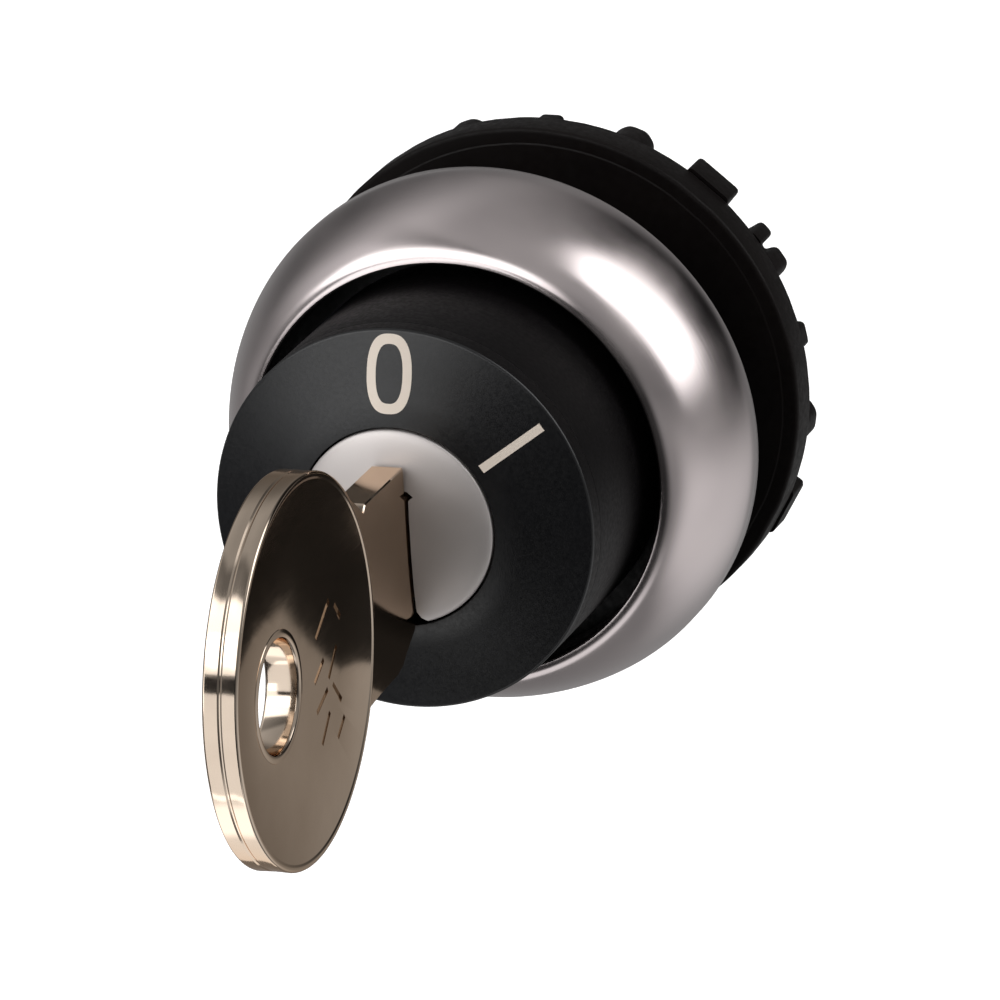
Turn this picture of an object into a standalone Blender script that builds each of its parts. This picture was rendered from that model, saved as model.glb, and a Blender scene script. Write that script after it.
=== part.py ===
"""Selector key switch for a 22 mm panel hole: a key-operated two-position actuator.

Frame: metres, +Z up.  The switch points along Y: its face and key look towards -Y, and the
barrel runs back through the panel towards +Y.  The origin is on the barrel's axis, in the plane
where the gasket meets the front of the panel.

Angles are clockwise from straight up as seen from the front.  Turning a piece clockwise is a
positive turn about +Y.
"""

import math

import bmesh
import bpy
from mathutils import Matrix, Vector

MM = 0.001

# Resolution of round pieces
ROUND = 48
ROUND_INNER = 36
ROUND_SMALL = 20

# Front ring: a domed metal ring around the face
RING_RADIUS = 14.68 * MM
RING_BACK_Y = -0.4 * MM
RING_DOME_BACK_Y = -1.6 * MM
RING_FRONT_Y = -7.75 * MM
RING_LIP_RADIUS = 11.46 * MM
RING_DOME_RISE = 1.3
RING_DOME_SHOULDER = 0.54
RING_DOME_STEPS = 10
RING_CAVITY_RADIUS = 13.2 * MM
RING_CAVITY_FRONT_Y = -4.2 * MM

# Barrel: M22 x 1.5 housing that passes through the panel
THREAD_RADIUS = 10.9 * MM
THREAD_ROOT_RADIUS = 10.1 * MM
THREAD_PITCH = 1.5 * MM
THREAD_START_Y = 1.6 * MM
THREAD_TURNS = 7
BARREL_BORE_RADIUS = 9.0 * MM
BARREL_FLANGE_RADIUS = 12.9 * MM
BARREL_FLANGE_FRONT_Y = -3.9 * MM
BARREL_FLANGE_BACK_Y = -2.1 * MM
BARREL_TAIL_RADIUS = 10.2 * MM
BARREL_BACK_Y = 15.5 * MM
NOSE_WIDTH = 2.8 * MM
NOSE_RADIUS = 11.95 * MM
NOSE_Y = (0.1 * MM, 1.4 * MM)
TAIL_NOTCH_WIDTH = 3.2 * MM
TAIL_NOTCH_FRONT_Y = 13.9 * MM
STOP_RIB_WIDTH = 2.0 * MM
STOP_RIB_RADIUS = 8.05 * MM
STOP_RIB_Y = (2.7 * MM, 4.5 * MM)

# Gasket between front ring and panel
GASKET_OUTER_RADIUS = 12.9 * MM
GASKET_INNER_RADIUS = 11.25 * MM
GASKET_FRONT_Y = -1.8 * MM

# Collar and face plate standing out through the front ring
COLLAR_RADIUS = 10.6 * MM
COLLAR_BORE_RADIUS = 7.9 * MM
COLLAR_FRONT_Y = -14.4 * MM
COLLAR_SHOULDER_Y = -4.2 * MM
COLLAR_SPIGOT_RADIUS = 8.7 * MM
COLLAR_BACK_Y = -1.0 * MM
FACE_RADIUS = 10.52 * MM
FACE_HOLE_RADIUS = 5.6 * MM
FACE_RIM_Y = -15.94 * MM
FACE_HOLE_Y = -17.12 * MM
FACE_BACK_Y = -14.7 * MM
FACE_EDGE_RADIUS = 0.2 * MM
FACE_EDGE_STEPS = 3
FACE_HOLE_CHAMFER = 0.1 * MM

# Lock cylinder: fixed sleeve, turning plug, seal and retaining clip
SLEEVE_RADIUS = 7.6 * MM
SLEEVE_BORE_RADIUS = 5.75 * MM
SLEEVE_FRONT_Y = -13.0 * MM
SLEEVE_FLANGE_RADIUS = 8.6 * MM
SLEEVE_FLANGE_Y = (-0.7 * MM, 0.2 * MM)
SEAL_RING_RADIUS = 6.25 * MM
SEAL_SECTION_RADIUS = 0.5 * MM
SEAL_Y = -13.85 * MM
SEAL_SECTION_STEPS = 8
PLUG_HEAD_RADIUS = 5.41 * MM
PLUG_HEAD_CHAMFER = 0.5 * MM
PLUG_FRONT_Y = -17.83 * MM
PLUG_HEAD_BACK_Y = -12.8 * MM
PLUG_BODY_RADIUS = 5.1 * MM
PLUG_GROOVE_RADIUS = 4.45 * MM
PLUG_GROOVE_Y = (0.45 * MM, 1.45 * MM)
PLUG_BODY_BACK_Y = 2.0 * MM
TANG_LENGTH = 2.2 * MM
TANG_WIDTH = 7.0 * MM
TANG_THICKNESS = 3.0 * MM
CLIP_INNER_RADIUS = 4.75 * MM
CLIP_OUTER_RADIUS = 6.5 * MM
CLIP_Y = (0.65 * MM, 1.25 * MM)
CLIP_OPENING_DEG = 60.0

# Keyway and wafers in the plug
KEYWAY_WIDTH = 2.6 * MM
KEYWAY_TOP_Z = 2.2 * MM
KEYWAY_BACK_Y = 0.1 * MM
WAFER_COUNT = 5
WAFER_FIRST_Y = -11.5 * MM
WAFER_SPACING = 2.3 * MM
WAFER_THICKNESS = 0.55 * MM
WAFER_SLOT_LENGTH = 1.1 * MM
WAFER_SLOT_HALF_WIDTH = 3.4 * MM
WAFER_HALF_WIDTH = 3.0 * MM
WAFER_RADIUS = 5.0 * MM
WAFER_WINDOW_HALF_WIDTH = 1.3 * MM
WAFER_WINDOW_Z = (-4.3 * MM, 2.25 * MM)
WAFER_RAIL_X = 1.95 * MM
WAFER_ARM_Z = -0.4 * MM
WAFER_ARC_STEPS = 6
WAFER_SPRING_X = 2.75 * MM
WAFER_SPRING_SEAT_Z = -3.7 * MM
WAFER_SPRING_Z = (-3.35 * MM, -0.85 * MM)
WAFER_SPRING_RADIUS = 0.33 * MM
WAFER_SPRING_WIRE = 0.09 * MM
WAFER_SPRING_TURNS = 4

# Key: a flat nickel key with a round bow
KEY_THICKNESS = 1.93 * MM
KEY_BOW_CENTRE = (-33.95 * MM, -2.08 * MM)
KEY_BOW_RADIUS = 10.33 * MM
KEY_BOW_STEPS = 44
KEY_HOLE_CENTRE = (-38.1 * MM, -1.95 * MM)
KEY_HOLE_RADIUS = 3.15 * MM
KEY_HOLE_STEPS = 24
KEY_EDGE = 0.16 * MM
KEY_STOP_Y = -17.98 * MM
KEY_NECK_TOP_Z = 3.6 * MM
KEY_NECK_NOTCH_Y = -24.2 * MM
KEY_NECK_NOTCH_DEPTH = 0.35 * MM
KEY_SHOULDER_Z = 5.28 * MM
KEY_NECK_FOOT_Z = -5.6 * MM
KEY_NECK_BELLY_Z = -7.15 * MM
KEY_BLADE_Z = (-3.9 * MM, 1.9 * MM)
KEY_TIP_Y = -0.4 * MM
KEY_CUT_DEPTHS = (0.5 * MM, 0.9 * MM, 0.35 * MM, 0.75 * MM, 0.6 * MM)
KEY_CUT_HALF_WIDTH = 0.9 * MM
KEY_CUT_FLAT = 0.35 * MM
KEY_GROOVE_DEPTH = 0.3 * MM
KEY_GROOVE_Z = (-1.2 * MM, 0.2 * MM)

# Cam that turns with the plug and drives the two plungers
SWITCH_TURN_DEG = 60.0
PLUNGER_STROKE = 4.0 * MM
CAM_RADIUS = 8.6 * MM
CAM_FRONT_Y = 2.3 * MM
CAM_BASE_Y = 4.9 * MM
CAM_LOW_Y = 5.0 * MM
CAM_HUB_RADIUS = 5.2 * MM
CAM_HUB_Y = 6.4 * MM
CAM_PIN_RADIUS = 1.6 * MM
CAM_PIN_BACK_Y = 14.6 * MM
CAM_SOCKET_GAP = 0.3 * MM
CAM_NOTCH_RADIUS = 7.75 * MM
CAM_NOTCH_MARGIN_DEG = 9.5
RAMP_RADII = (5.0 * MM, 7.6 * MM)
RAMP_FOOT_Y = 4.2 * MM
RAMP_MARGIN_DEG = 11.0
RAMP_LAND_DEG = 8.0
RAMP_STEP_DEG = 10.0

# Plungers, their springs and the rear cover that guides them
PLUNGER_OFFSET = 6.6 * MM
PLUNGER_TIP_RADIUS = 0.8 * MM
PLUNGER_TIP_Y = 5.4 * MM
PLUNGER_FLANGE_RADIUS = 1.9 * MM
PLUNGER_FLANGE_Y = (6.9 * MM, 7.7 * MM)
PLUNGER_ROD_RADIUS = 1.0 * MM
PLUNGER_BACK_Y = 16.6 * MM
PLUNGER_SPRING_Y = (8.15 * MM, 13.15 * MM)
PLUNGER_SPRING_RADIUS = 1.58 * MM
PLUNGER_SPRING_WIRE = 0.16 * MM
PLUNGER_SPRING_TURNS = 4
COVER_RADIUS = 8.7 * MM
COVER_Y = (13.6 * MM, 15.2 * MM)
COVER_ROD_HOLE_RADIUS = 1.35 * MM
COVER_PIN_HOLE_RADIUS = 1.95 * MM
COVER_BOSS_FRONT_Y = 10.1 * MM
COVER_BOSS_RADIUS = 1.6 * MM
COVER_BOSS_HOLE_RADIUS = 1.05 * MM

# Detent that holds the cam at either end of its turn
DETENT_OFFSET = 3.9 * MM
DETENT_PIN_RADIUS = 0.75 * MM
DETENT_PIN_Y = (6.65 * MM, 11.1 * MM)
DETENT_DIMPLE_RADIUS = 0.7 * MM
DETENT_DIMPLE_DEPTH = 0.35 * MM
DETENT_SPRING_Y = (11.5 * MM, 13.3 * MM)
DETENT_SPRING_RADIUS = 0.6 * MM
DETENT_SPRING_WIRE = 0.1 * MM
DETENT_SPRING_TURNS = 4

# Ring nut behind the panel
NUT_RADIUS = 14.68 * MM
NUT_BORE_RADIUS = 11.2 * MM
NUT_FRONT_Y = 6.7 * MM
NUT_FLANGE_BACK_Y = 9.0 * MM
NUT_BACK_Y = 11.0 * MM
NUT_ROOT_RADIUS = 13.2 * MM
NUT_EDGE = 0.25 * MM
NUT_LUG_COUNT = 18
# Outline of each kind of lug: (angle from the lug's middle in degrees, tip radius)
NUT_LUGS = {
    "small": ((-2.6, 14.2 * MM), (2.6, 14.2 * MM)),
    "round": ((-4.5, 14.0 * MM), (-2.0, 14.5 * MM), (2.0, 14.5 * MM), (4.5, 14.0 * MM)),
    "square": ((-5.5, 14.8 * MM), (5.5, 14.8 * MM)),
    "double": (
        (-6.6, 14.6 * MM), (-3.1, 14.7 * MM), (-2.3, 13.8 * MM), (-1.0, 13.8 * MM),
        (-0.3, 14.5 * MM), (3.9, 14.6 * MM), (5.5, 14.1 * MM),
    ),
}
NUT_LUG_FLANK_DEG = 0.6

SMOOTH_ANGLE = math.radians(32.0)
MERGE = 1e-7

FORWARD = Vector((0.0, 1.0, 0.0))


def material(name, colour, roughness, metallic=0.0):
    """A Principled material with one colour."""
    made = bpy.data.materials.new(name)
    made.use_nodes = True
    shader = made.node_tree.nodes["Principled BSDF"]
    shader.inputs["Base Color"].default_value = (*colour, 1.0)
    shader.inputs["Roughness"].default_value = roughness
    shader.inputs["Metallic"].default_value = metallic
    made.diffuse_color = (*colour, 1.0)
    return made


def finish(name, bm, surface, origin=(0.0, 0.0, 0.0)):
    """Turn a bmesh in world coordinates into a smooth-shaded object with its origin at origin."""
    bmesh.ops.remove_doubles(bm, verts=bm.verts, dist=MERGE)
    bmesh.ops.recalc_face_normals(bm, faces=bm.faces)
    mesh = bpy.data.meshes.new(name)
    bm.transform(Matrix.Translation(-Vector(origin)))
    bm.to_mesh(mesh)
    bm.free()
    mesh.shade_smooth()
    mesh.set_sharp_from_angle(angle=SMOOTH_ANGLE)
    obj = bpy.data.objects.new(name, mesh)
    obj.location = origin
    bpy.context.scene.collection.objects.link(obj)
    if surface is not None:
        mesh.materials.append(surface)
    return obj


def cutter(name, bm):
    """A tool solid that only takes part in Booleans."""
    obj = finish(name, bm, None)
    obj.hide_render = True
    obj.display_type = "WIRE"
    return obj


def combine(target, tool, operation):
    """Cut a tool solid out of a target, or join it to the target."""
    modifier = target.modifiers.new(f"{operation.lower()}_{tool.name}", "BOOLEAN")
    modifier.operation = operation
    modifier.solver = "EXACT"
    modifier.object = tool


def point(radius, clockwise_deg, y):
    """A point at a radius and an angle clockwise from straight up."""
    angle = math.radians(clockwise_deg)
    return Vector((radius * math.sin(angle), y, radius * math.cos(angle)))


def turned(outline, segments, closed=True, centre=(0.0, 0.0)):
    """Spin an outline of (radius, y) points about an axis along Y through centre = (x, z)."""
    bm = bmesh.new()
    verts = [bm.verts.new((radius, y, 0.0)) for radius, y in outline]
    for first, second in zip(verts, verts[1:]):
        bm.edges.new((first, second))
    if closed:
        bm.edges.new((verts[-1], verts[0]))
    bmesh.ops.spin(bm, geom=bm.verts[:] + bm.edges[:], cent=(0.0, 0.0, 0.0), axis=FORWARD,
                   dvec=(0.0, 0.0, 0.0), angle=math.tau, steps=segments, use_merge=True)
    bmesh.ops.remove_doubles(bm, verts=bm.verts, dist=MERGE)
    bmesh.ops.translate(bm, verts=bm.verts, vec=(centre[0], 0.0, centre[1]))
    return bm


def plate(loops, depth):
    """Fill flat loops, the first outside and any others as holes, and extrude them by depth."""
    bm = bmesh.new()
    for loop in loops:
        verts = [bm.verts.new(corner) for corner in loop]
        for first, second in zip(verts, verts[1:] + verts[:1]):
            bm.edges.new((first, second))
    bmesh.ops.triangle_fill(bm, use_beauty=True, edges=bm.edges[:])
    sides = bmesh.ops.extrude_face_region(bm, geom=bm.faces[:])
    moved = [item for item in sides["geom"] if isinstance(item, bmesh.types.BMVert)]
    bmesh.ops.translate(bm, verts=moved, vec=depth)
    return bm


def box(low, high):
    """A closed box between two corners."""
    bm = bmesh.new()
    bmesh.ops.create_cube(bm, size=1.0)
    size = Vector(high) - Vector(low)
    middle = (Vector(high) + Vector(low)) / 2
    bmesh.ops.scale(bm, vec=size, verts=bm.verts)
    bmesh.ops.translate(bm, vec=middle, verts=bm.verts)
    return bm


def circle(centre, radius, steps, y):
    """A loop in a plane of constant y around centre = (x, z)."""
    offset = Vector((centre[0], 0.0, centre[1]))
    return [point(radius, 360.0 * step / steps, y) + offset for step in range(steps)]


def rod(centre, radius, y_range, segments=ROUND_SMALL):
    """A closed cylinder along Y around centre = (x, z)."""
    outline = [(0.0, y_range[0]), (radius, y_range[0]), (radius, y_range[1]), (0.0, y_range[1])]
    return turned(outline, segments, closed=False, centre=centre)


def coil(name, base, direction, length, radius, wire, turns, surface, steps=9):
    """A helical compression spring: a bevelled curve with filled ends."""
    curve = bpy.data.curves.new(name, "CURVE")
    curve.dimensions = "3D"
    curve.bevel_depth = wire
    curve.bevel_resolution = 0
    curve.use_fill_caps = True
    spline = curve.splines.new("POLY")
    count = turns * steps + 1
    spline.points.add(count - 1)
    turn = Vector((0.0, 0.0, 1.0)).rotation_difference(direction)
    for index in range(count):
        angle = math.tau * index / steps
        local = Vector((radius * math.cos(angle), radius * math.sin(angle), length * index / (count - 1)))
        spline.points[index].co = (*(turn @ local), 1.0)
    curve.materials.append(surface)
    obj = bpy.data.objects.new(name, curve)
    obj.location = base
    bpy.context.scene.collection.objects.link(obj)
    return obj


def arc(centre, radius, start_deg, end_deg, steps):
    """Points (radius, y) on a quarter arc in a turned outline."""
    points = []
    for step in range(steps + 1):
        angle = math.radians(start_deg + (end_deg - start_deg) * step / steps)
        points.append((centre[0] + radius * math.cos(angle), centre[1] + radius * math.sin(angle)))
    return points


def ring_dome():
    """Outline of the domed outside, from its back edge forward to the lip."""
    points = []
    for step in range(RING_DOME_STEPS + 1):
        lean = math.sin(0.5 * math.pi * step / RING_DOME_STEPS)
        rise = (1.0 - lean ** RING_DOME_RISE) ** RING_DOME_SHOULDER if step < RING_DOME_STEPS else 0.0
        radius = RING_LIP_RADIUS + (RING_RADIUS - RING_LIP_RADIUS) * rise
        y = RING_DOME_BACK_Y + (RING_FRONT_Y - RING_DOME_BACK_Y) * lean
        points.append((radius, y))
    return points


def front_ring(surface):
    """Domed metal ring, open behind so that it covers the barrel's flange."""
    outline = [(RING_RADIUS, RING_BACK_Y)]
    outline += ring_dome()
    outline += [
        (RING_LIP_RADIUS, RING_CAVITY_FRONT_Y),
        (RING_CAVITY_RADIUS, RING_CAVITY_FRONT_Y),
        (RING_CAVITY_RADIUS, RING_BACK_Y),
    ]
    return finish("front_ring", turned(outline, ROUND), surface)


def gasket(surface):
    """Flat rubber ring that seals the front ring to the panel."""
    outline = [
        (GASKET_OUTER_RADIUS, GASKET_FRONT_Y),
        (GASKET_OUTER_RADIUS, 0.0),
        (GASKET_INNER_RADIUS, 0.0),
        (GASKET_INNER_RADIUS, GASKET_FRONT_Y),
    ]
    return finish("gasket", turned(outline, ROUND), surface)


def thread_outline():
    """Crests and roots of the barrel's thread, drawn as rings one pitch apart."""
    points = [(THREAD_RADIUS, THREAD_START_Y)]
    for turn in range(THREAD_TURNS):
        start = THREAD_START_Y + turn * THREAD_PITCH
        points.append((THREAD_ROOT_RADIUS, start + 0.5 * THREAD_PITCH))
        points.append((THREAD_RADIUS, start + THREAD_PITCH))
    return points


def barrel(surface):
    """Threaded housing with a front flange, a locating nose and a stop rib for the cam."""
    thread_end = THREAD_START_Y + THREAD_TURNS * THREAD_PITCH
    outline = [
        (BARREL_BORE_RADIUS, BARREL_FLANGE_FRONT_Y),
        (BARREL_FLANGE_RADIUS, BARREL_FLANGE_FRONT_Y),
        (BARREL_FLANGE_RADIUS, BARREL_FLANGE_BACK_Y),
        (THREAD_RADIUS, BARREL_FLANGE_BACK_Y),
    ]
    outline += thread_outline()
    outline += [
        (BARREL_TAIL_RADIUS, thread_end + 0.5 * THREAD_PITCH),
        (BARREL_TAIL_RADIUS, BARREL_BACK_Y),
        (BARREL_BORE_RADIUS, BARREL_BACK_Y),
    ]
    obj = finish("barrel", turned(outline, ROUND), surface)
    wall = 0.5 * (BARREL_BORE_RADIUS + THREAD_ROOT_RADIUS)
    nose = box((-NOSE_WIDTH / 2, NOSE_Y[0], wall), (NOSE_WIDTH / 2, NOSE_Y[1], NOSE_RADIUS))
    combine(obj, cutter("barrel_nose", nose), "UNION")
    rib = box((-STOP_RIB_WIDTH / 2, STOP_RIB_Y[0], -wall),
              (STOP_RIB_WIDTH / 2, STOP_RIB_Y[1], -STOP_RIB_RADIUS))
    combine(obj, cutter("barrel_stop_rib", rib), "UNION")
    reach = BARREL_TAIL_RADIUS + 1.0 * MM
    notch = box((-reach, TAIL_NOTCH_FRONT_Y, -TAIL_NOTCH_WIDTH / 2),
                (reach, BARREL_BACK_Y + 1.0 * MM, TAIL_NOTCH_WIDTH / 2))
    combine(obj, cutter("barrel_tail_notches", notch), "DIFFERENCE")
    return obj


def collar(surface):
    """Black tube that stands out through the front ring, with a spigot into the barrel."""
    outline = [
        (COLLAR_BORE_RADIUS, COLLAR_FRONT_Y),
        (COLLAR_RADIUS, COLLAR_FRONT_Y),
        (COLLAR_RADIUS, COLLAR_SHOULDER_Y),
        (COLLAR_SPIGOT_RADIUS, COLLAR_SHOULDER_Y),
        (COLLAR_SPIGOT_RADIUS, COLLAR_BACK_Y),
        (COLLAR_BORE_RADIUS, COLLAR_BACK_Y),
    ]
    return finish("collar", turned(outline, ROUND), surface)


def face_plate(surface):
    """Printed dial plate: a shallow cone that rises to the lock plug's hole, with a soft rim."""
    edge_centre = (FACE_RADIUS - FACE_EDGE_RADIUS, FACE_RIM_Y + FACE_EDGE_RADIUS)
    slope = (FACE_RIM_Y - FACE_HOLE_Y) / (edge_centre[0] - FACE_HOLE_RADIUS)
    mouth = (FACE_HOLE_RADIUS + FACE_HOLE_CHAMFER, FACE_HOLE_Y + slope * FACE_HOLE_CHAMFER)
    outline = [(FACE_HOLE_RADIUS, FACE_BACK_Y), (FACE_HOLE_RADIUS, mouth[1] + FACE_HOLE_CHAMFER), mouth]
    outline += arc(edge_centre, FACE_EDGE_RADIUS, math.degrees(math.atan(slope)) - 90.0, 0.0, FACE_EDGE_STEPS)
    outline.append((FACE_RADIUS, FACE_BACK_Y))
    return finish("face_plate", turned(outline, ROUND), surface)


def lock_sleeve(surface):
    """Fixed sleeve that the plug turns in, with a flange at its back."""
    outline = [
        (SLEEVE_BORE_RADIUS, SLEEVE_FRONT_Y),
        (SLEEVE_RADIUS, SLEEVE_FRONT_Y),
        (SLEEVE_RADIUS, SLEEVE_FLANGE_Y[0]),
        (SLEEVE_FLANGE_RADIUS, SLEEVE_FLANGE_Y[0]),
        (SLEEVE_FLANGE_RADIUS, SLEEVE_FLANGE_Y[1]),
        (SLEEVE_BORE_RADIUS, SLEEVE_FLANGE_Y[1]),
    ]
    return finish("lock_sleeve", turned(outline, ROUND_INNER), surface)


def plug_seal(surface):
    """O-ring around the plug, behind the face plate."""
    outline = arc((SEAL_RING_RADIUS, SEAL_Y), SEAL_SECTION_RADIUS, 0.0, 360.0, SEAL_SECTION_STEPS)
    return finish("plug_seal", turned(outline[:-1], ROUND_INNER), surface)


def wafer_y(index):
    """Where a wafer stands along the plug."""
    return WAFER_FIRST_Y + index * WAFER_SPACING


def lock_plug(surface):
    """Turning plug with its keyway, wafer slots, clip groove and drive tang."""
    outline = [
        (0.0, PLUG_FRONT_Y),
        (PLUG_HEAD_RADIUS - PLUG_HEAD_CHAMFER, PLUG_FRONT_Y),
        (PLUG_HEAD_RADIUS, PLUG_FRONT_Y + PLUG_HEAD_CHAMFER),
        (PLUG_HEAD_RADIUS, PLUG_HEAD_BACK_Y),
        (PLUG_BODY_RADIUS, PLUG_HEAD_BACK_Y),
        (PLUG_BODY_RADIUS, PLUG_GROOVE_Y[0]),
        (PLUG_GROOVE_RADIUS, PLUG_GROOVE_Y[0]),
        (PLUG_GROOVE_RADIUS, PLUG_GROOVE_Y[1]),
        (PLUG_BODY_RADIUS, PLUG_GROOVE_Y[1]),
        (PLUG_BODY_RADIUS, PLUG_BODY_BACK_Y),
        (0.0, PLUG_BODY_BACK_Y),
    ]
    obj = finish("lock_plug", turned(outline, ROUND, closed=False), surface)
    tang = box((-TANG_THICKNESS / 2, PLUG_BODY_BACK_Y - 0.5 * MM, -TANG_WIDTH / 2),
               (TANG_THICKNESS / 2, PLUG_BODY_BACK_Y + TANG_LENGTH, TANG_WIDTH / 2))
    combine(obj, cutter("plug_tang", tang), "UNION")
    outside = PLUG_HEAD_RADIUS + 1.0 * MM
    keyway = box((-KEYWAY_WIDTH / 2, PLUG_FRONT_Y - 1.0 * MM, -outside),
                 (KEYWAY_WIDTH / 2, KEYWAY_BACK_Y, KEYWAY_TOP_Z))
    combine(obj, cutter("plug_keyway", keyway), "DIFFERENCE")
    half = WAFER_SLOT_LENGTH / 2
    step_x = WAFER_RAIL_X + 0.2 * MM
    section = [
        (-WAFER_SLOT_HALF_WIDTH, -outside),
        (step_x, -outside),
        (step_x, WAFER_SPRING_SEAT_Z),
        (WAFER_SLOT_HALF_WIDTH, WAFER_SPRING_SEAT_Z),
        (WAFER_SLOT_HALF_WIDTH, outside),
        (-WAFER_SLOT_HALF_WIDTH, outside),
    ]
    for index in range(WAFER_COUNT):
        front = wafer_y(index) - half
        loop = [(x, front, z) for x, z in section]
        slot = plate([loop], (0.0, WAFER_SLOT_LENGTH, 0.0))
        combine(obj, cutter(f"plug_wafer_slot_{index + 1}", slot), "DIFFERENCE")
    return obj


def wafer_mesh():
    """Loops of one wafer around its own origin: a rounded plate with a window for the blade."""
    corner = math.degrees(math.asin(WAFER_HALF_WIDTH / WAFER_RADIUS))
    rail = math.degrees(math.asin(WAFER_RAIL_X / WAFER_RADIUS))
    front = -WAFER_THICKNESS / 2
    loop = [
        point(WAFER_RADIUS, -corner + 2.0 * corner * step / WAFER_ARC_STEPS, front)
        for step in range(WAFER_ARC_STEPS + 1)
    ]
    loop.append(Vector((WAFER_HALF_WIDTH, front, WAFER_ARM_Z)))
    loop.append(Vector((WAFER_RAIL_X, front, WAFER_ARM_Z)))
    sweep = rail + corner
    loop += [
        point(WAFER_RADIUS, 180.0 - rail + sweep * step / WAFER_ARC_STEPS, front)
        for step in range(WAFER_ARC_STEPS + 1)
    ]
    low, high = WAFER_WINDOW_Z
    half = WAFER_WINDOW_HALF_WIDTH
    window = [(-half, front, low), (half, front, low), (half, front, high), (-half, front, high)]
    return [loop, window]


def wafers(plate_surface, spring_surface):
    """Brass wafers, each pushed up by its own spring standing in the plug."""
    for index in range(WAFER_COUNT):
        bm = plate(wafer_mesh(), (0.0, WAFER_THICKNESS, 0.0))
        bmesh.ops.translate(bm, verts=bm.verts, vec=(0.0, wafer_y(index), 0.0))
        finish(f"wafer_{index + 1}", bm, plate_surface, origin=(0.0, wafer_y(index), 0.0))
        low, high = WAFER_SPRING_Z
        coil(f"wafer_spring_{index + 1}", (WAFER_SPRING_X, wafer_y(index), low),
             Vector((0.0, 0.0, 1.0)), high - low, WAFER_SPRING_RADIUS, WAFER_SPRING_WIRE,
             WAFER_SPRING_TURNS, spring_surface, steps=6)


def plug_clip(surface):
    """Open spring clip in the plug's groove, behind the sleeve."""
    bm = bmesh.new()
    start = 180.0 + CLIP_OPENING_DEG / 2
    sweep = 360.0 - CLIP_OPENING_DEG
    outline = [
        (CLIP_INNER_RADIUS, CLIP_Y[0]),
        (CLIP_OUTER_RADIUS, CLIP_Y[0]),
        (CLIP_OUTER_RADIUS, CLIP_Y[1]),
        (CLIP_INNER_RADIUS, CLIP_Y[1]),
    ]
    verts = [bm.verts.new(point(radius, start, y)) for radius, y in outline]
    section = bm.faces.new(verts)
    bmesh.ops.spin(bm, geom=[section], cent=(0.0, 0.0, 0.0), axis=FORWARD, dvec=(0.0, 0.0, 0.0),
                   angle=math.radians(sweep), steps=24, use_duplicate=False)
    if len(bm.faces) == 24 * 4 + 1:
        bm.faces.new([bm.verts.new(point(radius, start, y)) for radius, y in outline])
    return finish("plug_clip", bm, surface)


def key_outline():
    """Side outline of the key in the plane x = 0, as (y, z) points."""
    bow_y, bow_z = KEY_BOW_CENTRE
    upper = math.degrees(math.asin((KEY_SHOULDER_Z - bow_z) / KEY_BOW_RADIUS))
    lower = -math.degrees(math.asin((bow_z - KEY_NECK_BELLY_Z + 0.25 * MM) / KEY_BOW_RADIUS))
    points = []
    for step in range(KEY_BOW_STEPS + 1):
        angle = math.radians(upper + (360.0 - upper + lower) * step / KEY_BOW_STEPS)
        points.append((bow_y + KEY_BOW_RADIUS * math.cos(angle), bow_z + KEY_BOW_RADIUS * math.sin(angle)))
    points += [
        (-23.3 * MM, KEY_NECK_BELLY_Z),
        (-20.6 * MM, KEY_NECK_BELLY_Z + 0.1 * MM),
        (-19.0 * MM, KEY_NECK_FOOT_Z - 0.75 * MM),
        (KEY_STOP_Y, KEY_NECK_FOOT_Z),
        (KEY_STOP_Y, KEY_BLADE_Z[0]),
    ]
    for index, depth in enumerate(KEY_CUT_DEPTHS):
        middle = wafer_y(index)
        points += [
            (middle - KEY_CUT_HALF_WIDTH, KEY_BLADE_Z[0]),
            (middle - KEY_CUT_FLAT, KEY_BLADE_Z[0] + depth),
            (middle + KEY_CUT_FLAT, KEY_BLADE_Z[0] + depth),
            (middle + KEY_CUT_HALF_WIDTH, KEY_BLADE_Z[0]),
        ]
    points += [
        (KEY_TIP_Y - 0.9 * MM, KEY_BLADE_Z[0]),
        (KEY_TIP_Y, KEY_BLADE_Z[0] + 2.4 * MM),
        (KEY_TIP_Y - 0.9 * MM, KEY_BLADE_Z[1]),
        (KEY_STOP_Y, KEY_BLADE_Z[1]),
        (KEY_STOP_Y, KEY_NECK_TOP_Z),
        (KEY_NECK_NOTCH_Y + 0.3 * MM, KEY_NECK_TOP_Z),
        (KEY_NECK_NOTCH_Y, KEY_NECK_TOP_Z - KEY_NECK_NOTCH_DEPTH),
        (KEY_NECK_NOTCH_Y - 0.5 * MM, KEY_NECK_TOP_Z + 0.1 * MM),
    ]
    return points


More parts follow.
